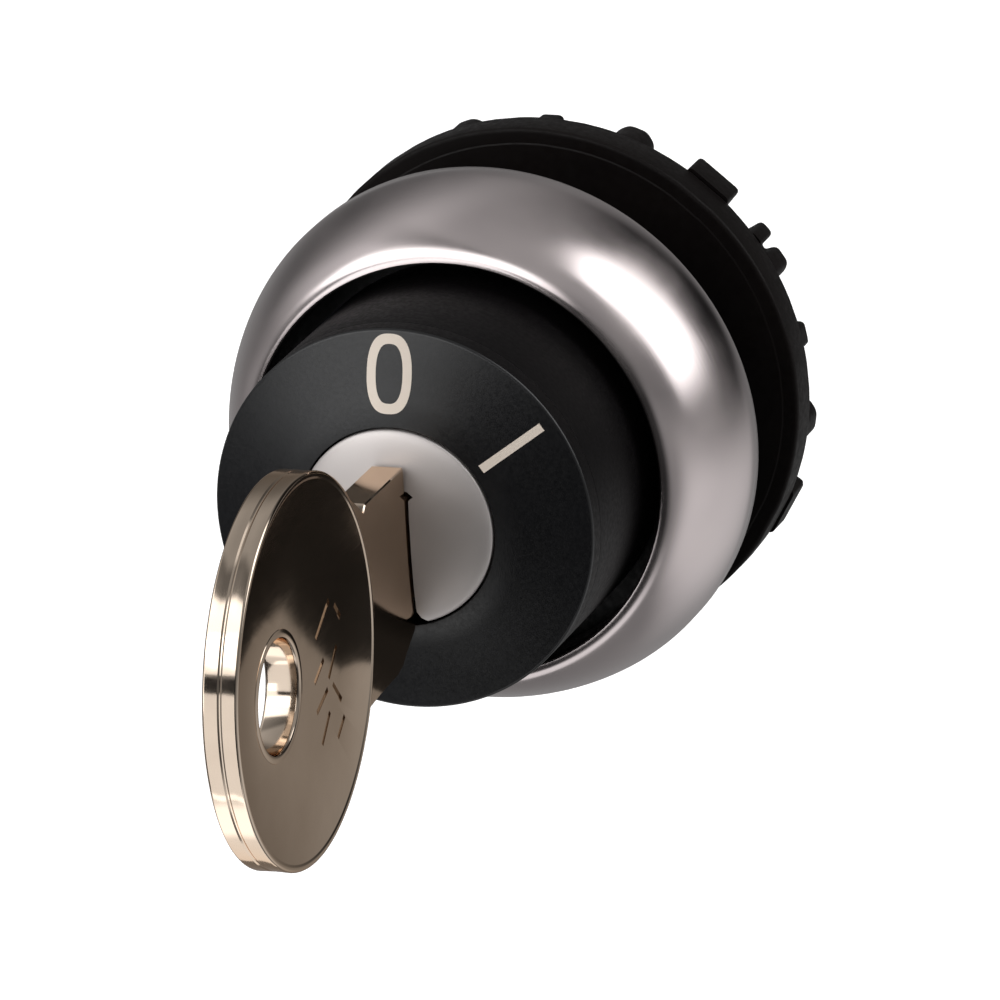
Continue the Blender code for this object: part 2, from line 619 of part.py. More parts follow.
def key(surface):
    """Flat key: round bow with a ring hole, neck, and a blade cut for the wafers."""
    front = -KEY_THICKNESS / 2
    outline = [(front, y, z) for y, z in key_outline()]
    hole = []
    for step in range(KEY_HOLE_STEPS):
        angle = math.tau * step / KEY_HOLE_STEPS
        y = KEY_HOLE_CENTRE[0] + KEY_HOLE_RADIUS * math.cos(angle)
        hole.append((front, y, KEY_HOLE_CENTRE[1] + KEY_HOLE_RADIUS * math.sin(angle)))
    bm = plate([outline, hole], (KEY_THICKNESS, 0.0, 0.0))
    bmesh.ops.dissolve_limit(bm, angle_limit=math.radians(0.5), verts=bm.verts, edges=bm.edges)
    obj = finish("key", bm, surface)
    for side in (-1, 1):
        inner = side * (KEY_THICKNESS / 2 - KEY_GROOVE_DEPTH)
        outer = side * (KEY_THICKNESS / 2 + 1.0 * MM)
        groove = box((min(inner, outer), KEY_STOP_Y + 1.0 * MM, KEY_GROOVE_Z[0]),
                     (max(inner, outer), KEY_TIP_Y + 1.0 * MM, KEY_GROOVE_Z[1]))
        combine(obj, cutter(f"key_groove_{'right' if side > 0 else 'left'}", groove), "DIFFERENCE")
    bevel = obj.modifiers.new("edges", "BEVEL")
    bevel.width = KEY_EDGE
    bevel.segments = 1
    bevel.limit_method = "ANGLE"
    bevel.angle_limit = math.radians(60.0)
    return obj


def ramp_height(cam_deg):
    """Height of the cam's drive surface at an angle on the cam, the same on both sides."""
    angle = cam_deg % 180.0
    high_end = 90.0 - SWITCH_TURN_DEG
    rate = PLUNGER_STROKE / SWITCH_TURN_DEG
    if angle > 90.0 + RAMP_MARGIN_DEG:
        return CAM_LOW_Y
    if angle >= high_end - RAMP_MARGIN_DEG:
        return CAM_LOW_Y + max(rate * (90.0 - angle), 0.0)
    top = CAM_LOW_Y + rate * (SWITCH_TURN_DEG + RAMP_MARGIN_DEG)
    land = high_end - RAMP_MARGIN_DEG - RAMP_LAND_DEG
    if angle >= land:
        return top
    return CAM_LOW_Y + (top - CAM_LOW_Y) * angle / land


def ramp_ring():
    """Ring with two helical ramps on its back, standing on the cam's base."""
    count = round(360.0 / RAMP_STEP_DEG)
    bm = bmesh.new()
    rows = []
    for step in range(count):
        angle = step * RAMP_STEP_DEG
        inner, outer = RAMP_RADII
        top = ramp_height(angle)
        rows.append([
            bm.verts.new(point(inner, angle, RAMP_FOOT_Y)),
            bm.verts.new(point(outer, angle, RAMP_FOOT_Y)),
            bm.verts.new(point(outer, angle, top)),
            bm.verts.new(point(inner, angle, top)),
        ])
    for step in range(count):
        here = rows[step]
        ahead = rows[(step + 1) % count]
        for side in range(4):
            following = (side + 1) % 4
            bm.faces.new((here[side], here[following], ahead[following], ahead[side]))
    return bm


def cam_notch():
    """Wedge that gives the cam's rim its travel past the barrel's stop rib."""
    start = 180.0 - SWITCH_TURN_DEG - CAM_NOTCH_MARGIN_DEG
    end = 180.0 + CAM_NOTCH_MARGIN_DEG
    steps = 8
    outside = CAM_RADIUS + 1.0 * MM
    front = CAM_FRONT_Y - 1.0 * MM
    angles = [start + (end - start) * step / steps for step in range(steps + 1)]
    loop = [point(CAM_NOTCH_RADIUS, angle, front) for angle in angles]
    loop += [point(outside, angle, front) for angle in reversed(angles)]
    return plate([loop], (0.0, CAM_BASE_Y - front + 1.0 * MM, 0.0))


def drive_cam(surface):
    """Cam that the plug's tang turns; its ramps push the plungers back."""
    outline = [
        (0.0, CAM_FRONT_Y),
        (CAM_RADIUS, CAM_FRONT_Y),
        (CAM_RADIUS, CAM_BASE_Y),
        (CAM_HUB_RADIUS, CAM_BASE_Y),
        (CAM_HUB_RADIUS, CAM_HUB_Y),
        (CAM_PIN_RADIUS, CAM_HUB_Y),
        (CAM_PIN_RADIUS, CAM_PIN_BACK_Y),
        (0.0, CAM_PIN_BACK_Y),
    ]
    obj = finish("drive_cam", turned(outline, ROUND_INNER, closed=False), surface)
    for number, angle in enumerate((0.0, -SWITCH_TURN_DEG)):
        place = point(DETENT_OFFSET, angle, 0.0)
        outline = [
            (0.0, CAM_HUB_Y - DETENT_DIMPLE_DEPTH),
            (2.0 * DETENT_DIMPLE_RADIUS, CAM_HUB_Y + DETENT_DIMPLE_DEPTH),
            (0.0, CAM_HUB_Y + DETENT_DIMPLE_DEPTH),
        ]
        dimple = turned(outline, 12, closed=False, centre=(place.x, place.z))
        combine(obj, cutter(f"cam_dimple_{number + 1}", dimple), "DIFFERENCE")
    combine(obj, cutter("cam_ramps", ramp_ring()), "UNION")
    combine(obj, cutter("cam_stop_notch", cam_notch()), "DIFFERENCE")
    half_width = TANG_WIDTH / 2 + CAM_SOCKET_GAP
    half_thickness = TANG_THICKNESS / 2 + CAM_SOCKET_GAP
    depth = PLUG_BODY_BACK_Y + TANG_LENGTH + CAM_SOCKET_GAP
    socket = box((-half_thickness, CAM_FRONT_Y - 1.0 * MM, -half_width), (half_thickness, depth, half_width))
    combine(obj, cutter("cam_socket", socket), "DIFFERENCE")
    return obj


def plunger(name, x, surface):
    """Rod with a rounded tip on the cam and a flange for its return spring."""
    tip_back = PLUNGER_TIP_Y + PLUNGER_TIP_RADIUS
    outline = arc((0.0, tip_back), PLUNGER_TIP_RADIUS, -90.0, 0.0, 4)
    outline[0] = (0.0, PLUNGER_TIP_Y)
    outline += [
        (PLUNGER_TIP_RADIUS, PLUNGER_FLANGE_Y[0]),
        (PLUNGER_FLANGE_RADIUS, PLUNGER_FLANGE_Y[0]),
        (PLUNGER_FLANGE_RADIUS, PLUNGER_FLANGE_Y[1]),
        (PLUNGER_ROD_RADIUS, PLUNGER_FLANGE_Y[1]),
        (PLUNGER_ROD_RADIUS, PLUNGER_BACK_Y),
        (0.0, PLUNGER_BACK_Y),
    ]
    bm = turned(outline, ROUND_SMALL, closed=False, centre=(x, 0.0))
    return finish(name, bm, surface, origin=(x, 0.0, 0.0))


def rear_cover(surface):
    """Disc that closes the barrel and guides the plungers, the cam's pin and the detent."""
    loops = [
        circle((0.0, 0.0), COVER_RADIUS, ROUND_INNER, COVER_Y[0]),
        circle((0.0, 0.0), COVER_PIN_HOLE_RADIUS, ROUND_SMALL, COVER_Y[0]),
        circle((PLUNGER_OFFSET, 0.0), COVER_ROD_HOLE_RADIUS, ROUND_SMALL, COVER_Y[0]),
        circle((-PLUNGER_OFFSET, 0.0), COVER_ROD_HOLE_RADIUS, ROUND_SMALL, COVER_Y[0]),
    ]
    obj = finish("rear_cover", plate(loops, (0.0, COVER_Y[1] - COVER_Y[0], 0.0)), surface)
    outline = [
        (COVER_BOSS_HOLE_RADIUS, COVER_BOSS_FRONT_Y),
        (COVER_BOSS_RADIUS, COVER_BOSS_FRONT_Y),
        (COVER_BOSS_RADIUS, COVER_Y[0] + 0.4 * MM),
        (COVER_BOSS_HOLE_RADIUS, COVER_Y[0] + 0.4 * MM),
    ]
    boss = turned(outline, ROUND_SMALL, centre=(0.0, DETENT_OFFSET))
    combine(obj, cutter("cover_detent_boss", boss), "UNION")
    return obj


def detent(pin_surface, spring_surface):
    """Pin that drops into the cam's dimples, and the spring behind it."""
    tip_back = DETENT_PIN_Y[0] + DETENT_PIN_RADIUS
    outline = arc((0.0, tip_back), DETENT_PIN_RADIUS, -90.0, 0.0, 3)
    outline[0] = (0.0, DETENT_PIN_Y[0])
    outline += [(DETENT_PIN_RADIUS, DETENT_PIN_Y[1]), (0.0, DETENT_PIN_Y[1])]
    bm = turned(outline, 14, closed=False, centre=(0.0, DETENT_OFFSET))
    finish("detent_pin", bm, pin_surface, origin=(0.0, 0.0, DETENT_OFFSET))
    coil("detent_spring", (0.0, DETENT_SPRING_Y[0], DETENT_OFFSET), FORWARD,
         DETENT_SPRING_Y[1] - DETENT_SPRING_Y[0], DETENT_SPRING_RADIUS, DETENT_SPRING_WIRE,
         DETENT_SPRING_TURNS, spring_surface, steps=8)


def nut_outline():
    """Tip radius around the lug ring, as (clockwise degrees, radius) pairs."""
    kinds = list(NUT_LUGS)
    pitch = 360.0 / NUT_LUG_COUNT
    pairs = []
    for lug in range(NUT_LUG_COUNT):
        middle = lug * pitch
        tips = NUT_LUGS[kinds[lug % len(kinds)]]
        pairs.append((middle + tips[0][0] - NUT_LUG_FLANK_DEG, NUT_ROOT_RADIUS))
        pairs += [(middle + offset, radius) for offset, radius in tips]
        pairs.append((middle + tips[-1][0] + NUT_LUG_FLANK_DEG, NUT_ROOT_RADIUS))
    return pairs


def ring_nut(surface):
    """Nut with a smooth flange against the panel and a ring of lugs for the spanner behind."""
    pairs = nut_outline()
    angles = [angle for angle, _ in pairs]
    lugs = [radius for _, radius in pairs]
    count = len(pairs)
    levels = [
        ([NUT_BORE_RADIUS] * count, NUT_BACK_Y),
        ([NUT_BORE_RADIUS] * count, NUT_FRONT_Y),
        ([NUT_RADIUS - NUT_EDGE] * count, NUT_FRONT_Y),
        ([NUT_RADIUS] * count, NUT_FRONT_Y + NUT_EDGE),
        ([NUT_RADIUS] * count, NUT_FLANGE_BACK_Y),
        (lugs, NUT_FLANGE_BACK_Y),
        (lugs, NUT_BACK_Y),
    ]
    bm = bmesh.new()
    rings = []
    for radii, y in levels:
        rings.append([bm.verts.new(point(radius, angle, y)) for radius, angle in zip(radii, angles)])
    for ring, following in zip(rings, rings[1:] + rings[:1]):
        for index in range(count):
            after = (index + 1) % count
            bm.faces.new((ring[index], ring[after], following[after], following[index]))
    return finish("ring_nut", bm, surface)


def build():
    """Make every piece of the switch."""
    for old in list(bpy.data.objects):
        bpy.data.objects.remove(old, do_unlink=True)

    titanium = material("titanium", (0.55, 0.54, 0.52), 0.28, 1.0)
    black_plastic = material("black_plastic", (0.02, 0.02, 0.022), 0.45)
    dial_plastic = material("dial_plastic", (0.045, 0.047, 0.055), 0.6)
    housing_plastic = material("housing_plastic", (0.03, 0.03, 0.032), 0.5)
    rubber = material("rubber", (0.015, 0.015, 0.015), 0.85)
    zinc = material("zinc", (0.5, 0.5, 0.5), 0.4, 1.0)
    satin_metal = material("satin_metal", (0.62, 0.6, 0.57), 0.25, 1.0)
    nickel = material("nickel", (0.6, 0.53, 0.46), 0.15, 1.0)
    brass = material("brass", (0.7, 0.52, 0.22), 0.3, 1.0)
    spring_steel = material("spring_steel", (0.45, 0.45, 0.46), 0.3, 1.0)
    white_plastic = material("white_plastic", (0.75, 0.75, 0.72), 0.5)
    red_plastic = material("red_plastic", (0.45, 0.05, 0.04), 0.5)
    nut_plastic = material("nut_plastic", (0.03, 0.025, 0.024), 0.5)

    front_ring(titanium)
    gasket(rubber)
    barrel(housing_plastic)
    collar(black_plastic)
    face_plate(dial_plastic)
    lock_sleeve(zinc)
    plug_seal(rubber)
    lock_plug(satin_metal)
    wafers(brass, spring_steel)
    plug_clip(spring_steel)
    key(nickel)
    drive_cam(white_plastic)
    for side, x in (("left", -PLUNGER_OFFSET), ("right", PLUNGER_OFFSET)):
        plunger(f"plunger_{side}", x, red_plastic)
        coil(f"plunger_spring_{side}", (x, PLUNGER_SPRING_Y[0], 0.0), FORWARD,
             PLUNGER_SPRING_Y[1] - PLUNGER_SPRING_Y[0], PLUNGER_SPRING_RADIUS, PLUNGER_SPRING_WIRE,
             PLUNGER_SPRING_TURNS, spring_steel, steps=10)
    detent(spring_steel, spring_steel)
    rear_cover(housing_plastic)
    ring_nut(nut_plastic)


build()
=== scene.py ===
"""Looks of the selector key switch: detailed pieces, materials, studio and camera.

Everything is in metres, in the CAD's frame: +Z up, the face and the key look towards -Y, and the
barrel runs back through the panel towards +Y.  Angles are clockwise from straight up, seen from
the front.
"""

import math

import bmesh
import bpy
from mathutils import Matrix, Vector


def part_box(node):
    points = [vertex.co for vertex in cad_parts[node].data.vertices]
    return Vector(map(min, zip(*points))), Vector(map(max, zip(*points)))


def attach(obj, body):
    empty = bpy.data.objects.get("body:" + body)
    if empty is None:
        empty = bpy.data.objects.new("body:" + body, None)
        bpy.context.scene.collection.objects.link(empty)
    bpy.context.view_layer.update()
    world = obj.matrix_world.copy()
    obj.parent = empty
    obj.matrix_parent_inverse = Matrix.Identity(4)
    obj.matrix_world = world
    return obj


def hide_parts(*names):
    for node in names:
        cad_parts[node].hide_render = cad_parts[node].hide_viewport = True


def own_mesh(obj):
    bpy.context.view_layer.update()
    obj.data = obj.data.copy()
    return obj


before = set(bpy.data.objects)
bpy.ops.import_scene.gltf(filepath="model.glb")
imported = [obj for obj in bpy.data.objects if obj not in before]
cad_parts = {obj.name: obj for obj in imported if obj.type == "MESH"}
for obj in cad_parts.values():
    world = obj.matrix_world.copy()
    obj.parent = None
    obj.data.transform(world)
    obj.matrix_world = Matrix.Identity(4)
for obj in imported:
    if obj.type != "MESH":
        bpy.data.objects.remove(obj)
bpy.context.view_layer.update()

MM = 0.001
# How far a cutter reaches past what it cuts
CLEAR = 1.0 * MM
SMOOTH_ANGLE = math.radians(30.0)
MERGE = 1e-7
# Corners straighter or smaller than these aren't rounded, and sharper ones move in no further
STRAIGHT = math.radians(165.0)
SMALLEST_CORNER = 1e-6
SHARPEST = 0.5
# Each end of a coil spring is wound closed for this many turns
CLOSED_TURNS = 0.75
COIL_STEPS = 20
WIRE_SIDES = 8
FORWARD = Vector((0.0, 1.0, 0.0))


# -------------------------------- sizes read from the frame

def node_box(name):
    """Corners of a CAD node as two vectors."""
    low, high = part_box(name)
    return Vector(low), Vector(high)


RING_LOW, RING_HIGH = node_box("front_ring")
FACE_HIGH = node_box("face_plate")[1]
COLLAR_HIGH = node_box("collar")[1]
PLUG_LOW, PLUG_HIGH = node_box("lock_plug")
KEY_HIGH = node_box("key")[1]
NUT_LOW, NUT_HIGH = node_box("ring_nut")
BARREL_LOW, BARREL_HIGH = node_box("barrel")
GASKET_LOW, GASKET_HIGH = node_box("gasket")


# -------------------------------- mesh helpers

def linked(name, data):
    """A new object in the scene."""
    obj = bpy.data.objects.new(name, data)
    bpy.context.scene.collection.objects.link(obj)
    return obj


def add_object(name, bm, surface, body, replaced=(), angle=SMOOTH_ANGLE):
    """Make an object from a bmesh, ride it on its body and let it stand for CAD nodes."""
    bmesh.ops.remove_doubles(bm, verts=bm.verts, dist=MERGE)
    bmesh.ops.recalc_face_normals(bm, faces=bm.faces)
    mesh = bpy.data.meshes.new(name)
    bm.to_mesh(mesh)
    bm.free()
    mesh.shade_smooth()
    mesh.set_sharp_from_angle(angle=angle)
    mesh.materials.append(surface)
    obj = linked(name, mesh)
    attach(obj, body)
    if replaced:
        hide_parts(*replaced)
    return obj


def point(radius, clockwise_deg, y):
    """A point at a radius and an angle clockwise from straight up."""
    angle = math.radians(clockwise_deg)
    return Vector((radius * math.sin(angle), y, radius * math.cos(angle)))


def turned(outline, segments, closed=True, centre=(0.0, 0.0)):
    """Spin an outline of (radius, y) points about an axis along Y through centre = (x, z)."""
    bm = bmesh.new()
    verts = [bm.verts.new((radius, y, 0.0)) for radius, y in outline]
    for first, second in zip(verts, verts[1:]):
        bm.edges.new((first, second))
    if closed:
        bm.edges.new((verts[-1], verts[0]))
    bmesh.ops.spin(bm, geom=bm.verts[:] + bm.edges[:], cent=(0.0, 0.0, 0.0), axis=FORWARD,
                   dvec=(0.0, 0.0, 0.0), angle=math.tau, steps=segments, use_merge=True)
    bmesh.ops.remove_doubles(bm, verts=bm.verts, dist=MERGE)
    bmesh.ops.translate(bm, verts=bm.verts, vec=(centre[0], 0.0, centre[1]))
    return bm


def rounded(outline, radius, steps=4):
    """Round the corners of a closed outline, leaving nearly straight ones alone."""
    result = []
    count = len(outline)
    for index in range(count):
        before = Vector(outline[index - 1])
        here = Vector(outline[index])
        after = Vector(outline[(index + 1) % count])
        back = before - here
        ahead = after - here
        turn = back.angle(ahead, math.pi)
        reach = min(radius, 0.45 * back.length, 0.45 * ahead.length)
        if turn > STRAIGHT or reach < SMALLEST_CORNER:
            result.append(tuple(here))
            continue
        start = here + back.normalized() * reach
        end = here + ahead.normalized() * reach
        for step in range(steps + 1):
            t = step / steps
            spot = start * (1 - t) ** 2 + here * 2 * t * (1 - t) + end * t ** 2
            result.append(tuple(spot))
    return result


def arc_points(centre, radius, start_deg, end_deg, steps):
    """Points of a circular arc in an outline plane."""
    points = []
    for step in range(steps + 1):
        angle = math.radians(start_deg + (end_deg - start_deg) * step / steps)
        points.append((centre[0] + radius * math.cos(angle), centre[1] + radius * math.sin(angle)))
    return points


def shrunk(outline, distance):
    """Move every corner of an anticlockwise outline inwards by a distance."""
    moved = []
    count = len(outline)
    for index in range(count):
        here = Vector(outline[index])
        back = (here - Vector(outline[index - 1])).normalized()
        ahead = (Vector(outline[(index + 1) % count]) - here).normalized()
        inward = Vector((-back.y - ahead.y, back.x + ahead.x))
        if inward.length > MERGE:
            inward.normalize()
            lean = max(inward.dot(Vector((-ahead.y, ahead.x))), SHARPEST)
            here = here + inward * (distance / lean)
        moved.append((here.x, here.y))
    return moved


def skinned(bm, rows):
    """Faces between each closed row of vertices and the next."""
    for row, following in zip(rows, rows[1:]):
        for index in range(len(row)):
            after = (index + 1) % len(row)
            bm.faces.new((row[index], row[after], following[after], following[index]))


def stacked(levels):
    """Join closed loops of equal length, one above the next, and cap both ends."""
    bm = bmesh.new()
    rows = [[bm.verts.new(corner) for corner in level] for level in levels]
    skinned(bm, rows)
    for row in (rows[0], rows[-1]):
        edges = [bm.edges.get((row[index - 1], row[index])) for index in range(len(row))]
        bmesh.ops.triangle_fill(bm, use_beauty=True, edges=edges)
    return bm


def coil(base, direction, length, radius, wire, turns):
    """A round wire wound into a compression spring with closed ends."""
    side = direction.orthogonal().normalized()
    across = direction.cross(side)
    total = turns + 2.0 * CLOSED_TURNS
    count = round(total * COIL_STEPS)
    bm = bmesh.new()
    rows = []
    for step in range(count + 1):
        turn = total * step / count
        share = min(max((turn - CLOSED_TURNS) / turns, 0.0), 1.0)
        angle = math.tau * turn
        out = side * math.cos(angle) + across * math.sin(angle)
        along = (side * -math.sin(angle) + across * math.cos(angle)).normalized()
        rise = direction * (wire + (length - 2.0 * wire) * share)
        middle = Vector(base) + out * radius + rise
        up = along.cross(out)
        leans = [math.tau * corner / WIRE_SIDES for corner in range(WIRE_SIDES)]
        rows.append([bm.verts.new(middle + (out * math.cos(lean) + up * math.sin(lean)) * wire)
                     for lean in leans])
    skinned(bm, rows)
    bm.faces.new(rows[0])
    bm.faces.new(rows[-1])
    return bm


def box(low, high):
    """A closed box between two corners."""
    bm = bmesh.new()
    bmesh.ops.create_cube(bm, size=1.0)
    size = Vector(high) - Vector(low)
    middle = (Vector(high) + Vector(low)) / 2
    bmesh.ops.scale(bm, vec=size, verts=bm.verts)
    bmesh.ops.translate(bm, vec=middle, verts=bm.verts)
    return bm


def plate(loops, depth):
    """Fill flat loops, the first outside and any others as holes, and extrude them by depth."""
    bm = bmesh.new()
    for loop in loops:
        verts = [bm.verts.new(corner) for corner in loop]
        for first, second in zip(verts, verts[1:] + verts[:1]):
            bm.edges.new((first, second))
    bmesh.ops.triangle_fill(bm, use_beauty=True, edges=bm.edges[:])
    sides = bmesh.ops.extrude_face_region(bm, geom=bm.faces[:])
    moved = [item for item in sides["geom"] if isinstance(item, bmesh.types.BMVert)]
    bmesh.ops.translate(bm, verts=moved, vec=depth)
    return bm


def join_shapes(target, tools, operation):
    """Cut tool bmeshes out of a bmesh, or join them to it, and return the new bmesh."""
    bmesh.ops.recalc_face_normals(target, faces=target.faces)
    base_mesh = bpy.data.meshes.new("base")
    target.to_mesh(base_mesh)
    target.free()
    base = linked("base", base_mesh)
    made = []
    for tool in tools:
        bmesh.ops.recalc_face_normals(tool, faces=tool.faces)
        mesh = bpy.data.meshes.new("tool")
        tool.to_mesh(mesh)
        tool.free()
        obj = linked("tool", mesh)
        made.append(obj)
        modifier = base.modifiers.new("join", "BOOLEAN")
        modifier.operation = operation
        modifier.solver = "EXACT"
        modifier.object = obj
    depsgraph = bpy.context.evaluated_depsgraph_get()
    result = bmesh.new()
    result.from_mesh(base.evaluated_get(depsgraph).to_mesh())
    for obj in [base, *made]:
        mesh = obj.data
        bpy.data.objects.remove(obj, do_unlink=True)
        bpy.data.meshes.remove(mesh)
    return result


# -------------------------------- materials

def node(tree, kind, inputs=(), **settings):
    """Add a shader node, set its properties, then set or link its inputs."""
    made = tree.nodes.new(kind)
    for name, value in settings.items():
        setattr(made, name, value)
    for name, value in dict(inputs).items():
        if isinstance(value, bpy.types.NodeSocket):
            tree.links.new(value, made.inputs[name])
        else:
            made.inputs[name].default_value = value
    return made


def calculated(tree, operation, *values):
    """A Math node on plain numbers and linked values."""
    return node(tree, "ShaderNodeMath", enumerate(values), operation=operation).outputs["Value"]


def shader_of(name, colour, roughness, metallic):
    """A new material with its Principled shader set to plain values."""
    made = bpy.data.materials.new(name)
    made.use_nodes = True
    tree = made.node_tree
    shader = tree.nodes["Principled BSDF"]
    shader.inputs["Base Color"].default_value = (*colour, 1.0)
    shader.inputs["Roughness"].default_value = roughness
    shader.inputs["Metallic"].default_value = metallic
    return made, tree, shader


def noise(tree, vector, scale, detail=3.0, rough=0.55):
    """A noise texture on object coordinates."""
    inputs = {"Scale": scale, "Detail": detail, "Roughness": rough, "Vector": vector}
    return node(tree, "ShaderNodeTexNoise", inputs).outputs["Fac"]


def mapped(tree, value, low, high):
    """Map a noise, which mostly lies between 0.3 and 0.7, to low..high."""
    inputs = {"From Min": 0.3, "From Max": 0.7, "To Min": low, "To Max": high, "Value": value}
    return node(tree, "ShaderNodeMapRange", inputs).outputs["Result"]


def surfaced(tree, shader, tint, dark, light, gloss, roughness, spread):
    """Vary the colour from dark to light by one noise, and the roughness by another."""
    shade = {"Factor": mapped(tree, tint, 0.0, 1.0), "A": (*dark, 1.0), "B": (*light, 1.0)}
    colour = node(tree, "ShaderNodeMix", shade, data_type="RGBA")
    tree.links.new(colour.outputs["Result"], shader.inputs["Base Color"])
    tree.links.new(mapped(tree, gloss, roughness - spread, roughness + spread), shader.inputs["Roughness"])


def bumps(tree, shader, heights):
    """Chain bump nodes: heights are (value, distance in metres, strength)."""
    chain = {}
    for value, distance, strength in heights:
        inputs = {"Distance": distance, "Strength": strength, "Height": value, **chain}
        made = node(tree, "ShaderNodeBump", inputs)
        chain = {"Normal": made.outputs["Normal"]}
    tree.links.new(made.outputs["Normal"], shader.inputs["Normal"])


def object_vector(tree, scale=(1.0, 1.0, 1.0)):
    """Object coordinates, stretched along each axis."""
    coordinates = node(tree, "ShaderNodeTexCoord").outputs["Object"]
    return node(tree, "ShaderNodeMapping", {"Scale": scale, "Vector": coordinates}).outputs["Vector"]


def turned_vector(tree, across, along):
    """Coordinates that run round the Y axis, so that a fine noise becomes lathe lines."""
    coordinates = node(tree, "ShaderNodeTexCoord").outputs["Object"]
    parts = node(tree, "ShaderNodeSeparateXYZ", {"Vector": coordinates}).outputs
    x, z = parts["X"], parts["Z"]
    squares = [calculated(tree, "MULTIPLY", side, side) for side in (x, z)]
    radius = calculated(tree, "SQRT", calculated(tree, "ADD", *squares))
    round_axis = {"X": radius, "Y": parts["Y"], "Z": calculated(tree, "ARCTAN2", x, z)}
    joined = node(tree, "ShaderNodeCombineXYZ", round_axis).outputs["Vector"]
    scaled = {"Scale": (across, across, along), "Vector": joined}
    return node(tree, "ShaderNodeMapping", scaled).outputs["Vector"]


# Noise scales, per metre of the object's coordinates; the lathe lines' are across and along them
CLOUD_SCALE = 260.0
LATHE_SCALES = (9000.0, 3.0)
BLAST_SCALE = 7000.0
SATIN_SMUDGE_SCALE = 180.0
PLATED_SMUDGE_SCALE = 220.0
PLATED_WAVE_SCALE = 420.0
CLOUD_DEPTH = 0.02 * MM
SATIN_SPREAD = 0.06


def plastic(name, dark, light, roughness, grain, grain_depth, spread=0.08, specular=0.5):
    """Moulded plastic: a fine spark-eroded grain, cloudy colour and uneven gloss."""
    made, tree, shader = shader_of(name, dark, roughness, 0.0)
    shader.inputs["Specular IOR Level"].default_value = specular
    vector = object_vector(tree)
    clouds = noise(tree, vector, CLOUD_SCALE, 4.0)
    fine = noise(tree, vector, grain, 2.0, 0.6)
    surfaced(tree, shader, clouds, dark, light, fine, roughness, spread)
    bumps(tree, shader, [(clouds, CLOUD_DEPTH, 0.15), (fine, grain_depth, 0.6)])
    return made


def satin_metal(name, dark, light, roughness, line_depth, metallic=1.0):
    """Turned metal with very fine lathe lines, a blasted grain and soft smudges."""
    made, tree, shader = shader_of(name, dark, roughness, metallic)
    lines = noise(tree, turned_vector(tree, *LATHE_SCALES), 1.0, 2.0, 0.5)
    vector = object_vector(tree)
    grain = noise(tree, vector, BLAST_SCALE, 2.0, 0.6)
    smudge = noise(tree, vector, SATIN_SMUDGE_SCALE, 3.0)
    surfaced(tree, shader, smudge, dark, light, smudge, roughness, SATIN_SPREAD)
    bumps(tree, shader, [(lines, line_depth, 0.5), (grain, 0.6 * line_depth, 0.4)])
    return made


def polished_metal(name, dark, light, roughness, brush, brush_depth, spread=0.04,
                   edge_tint=(1.0, 1.0, 1.0)):
    """Plated flat metal with faint straight brushing and shallow handling marks."""
    made, tree, shader = shader_of(name, dark, roughness, 1.0)
    shader.inputs["Specular Tint"].default_value = (*edge_tint, 1.0)
    vector = object_vector(tree)
    streaks = noise(tree, object_vector(tree, brush), 1.0, 3.0, 0.6)
    smudge = noise(tree, vector, PLATED_SMUDGE_SCALE, 4.0)
    waves = noise(tree, vector, PLATED_WAVE_SCALE, 1.0)
    surfaced(tree, shader, smudge, dark, light, streaks, roughness, spread)
    bumps(tree, shader, [(waves, CLOUD_DEPTH, 0.12), (streaks, brush_depth, 0.4)])
    return made


TITANIUM = satin_metal("satin_titanium", (0.58, 0.52, 0.52), (0.63, 0.565, 0.56), 0.21, 0.003 * MM)
PLUG_METAL = satin_metal("satin_plug", (0.55, 0.515, 0.50), (0.60, 0.56, 0.545), 0.46, 0.003 * MM,
                         metallic=0.66)
ZINC = satin_metal("cast_zinc", (0.36, 0.36, 0.37), (0.46, 0.46, 0.46), 0.45, 0.01 * MM)
NICKEL = polished_metal("warm_nickel", (0.53, 0.435, 0.35), (0.59, 0.49, 0.40), 0.10,
                        (900.0, 600.0, 9000.0), 0.0008 * MM, spread=0.02, edge_tint=(0.86, 0.72, 0.61))
BRASS = polished_metal("stamped_brass", (0.66, 0.48, 0.2), (0.74, 0.56, 0.26), 0.25,
                       (3000.0, 3000.0, 300.0), 0.003 * MM)
STEEL = polished_metal("spring_steel", (0.38, 0.38, 0.39), (0.48, 0.48, 0.48), 0.28,
                       (2500.0, 2500.0, 2500.0), 0.003 * MM)
DIAL = plastic("dial_plastic", (0.0022, 0.0023, 0.0030), (0.0036, 0.0038, 0.0050), 0.34, 5200.0,
               0.006 * MM, spread=0.05)
COLLAR = plastic("collar_plastic", (0.0020, 0.0015, 0.0017), (0.0030, 0.0024, 0.0027), 0.46, 3800.0,
                 0.004 * MM, specular=0.12)
HOUSING = plastic("housing_plastic", (0.0042, 0.0040, 0.0042), (0.0068, 0.0065, 0.0068), 0.48, 3000.0,
                  0.01 * MM, specular=0.25)
NUT = plastic("nut_plastic", (0.0036, 0.0024, 0.0022), (0.0054, 0.0037, 0.0034), 0.50, 2600.0,
              0.008 * MM, specular=0.12)
RUBBER = plastic("black_rubber", (0.008, 0.008, 0.008), (0.014, 0.014, 0.014), 0.78, 2400.0, 0.015 * MM)
WHITE = plastic("white_acetal", (0.62, 0.61, 0.57), (0.70, 0.69, 0.65), 0.42, 2200.0, 0.006 * MM)
RED = plastic("red_plastic", (0.36, 0.03, 0.02), (0.44, 0.045, 0.03), 0.42, 2600.0, 0.008 * MM)
PRINT = plastic("dial_print", (0.80, 0.70, 0.60), (0.86, 0.76, 0.66), 0.55, 5200.0, 0.004 * MM)


# -------------------------------- front ring

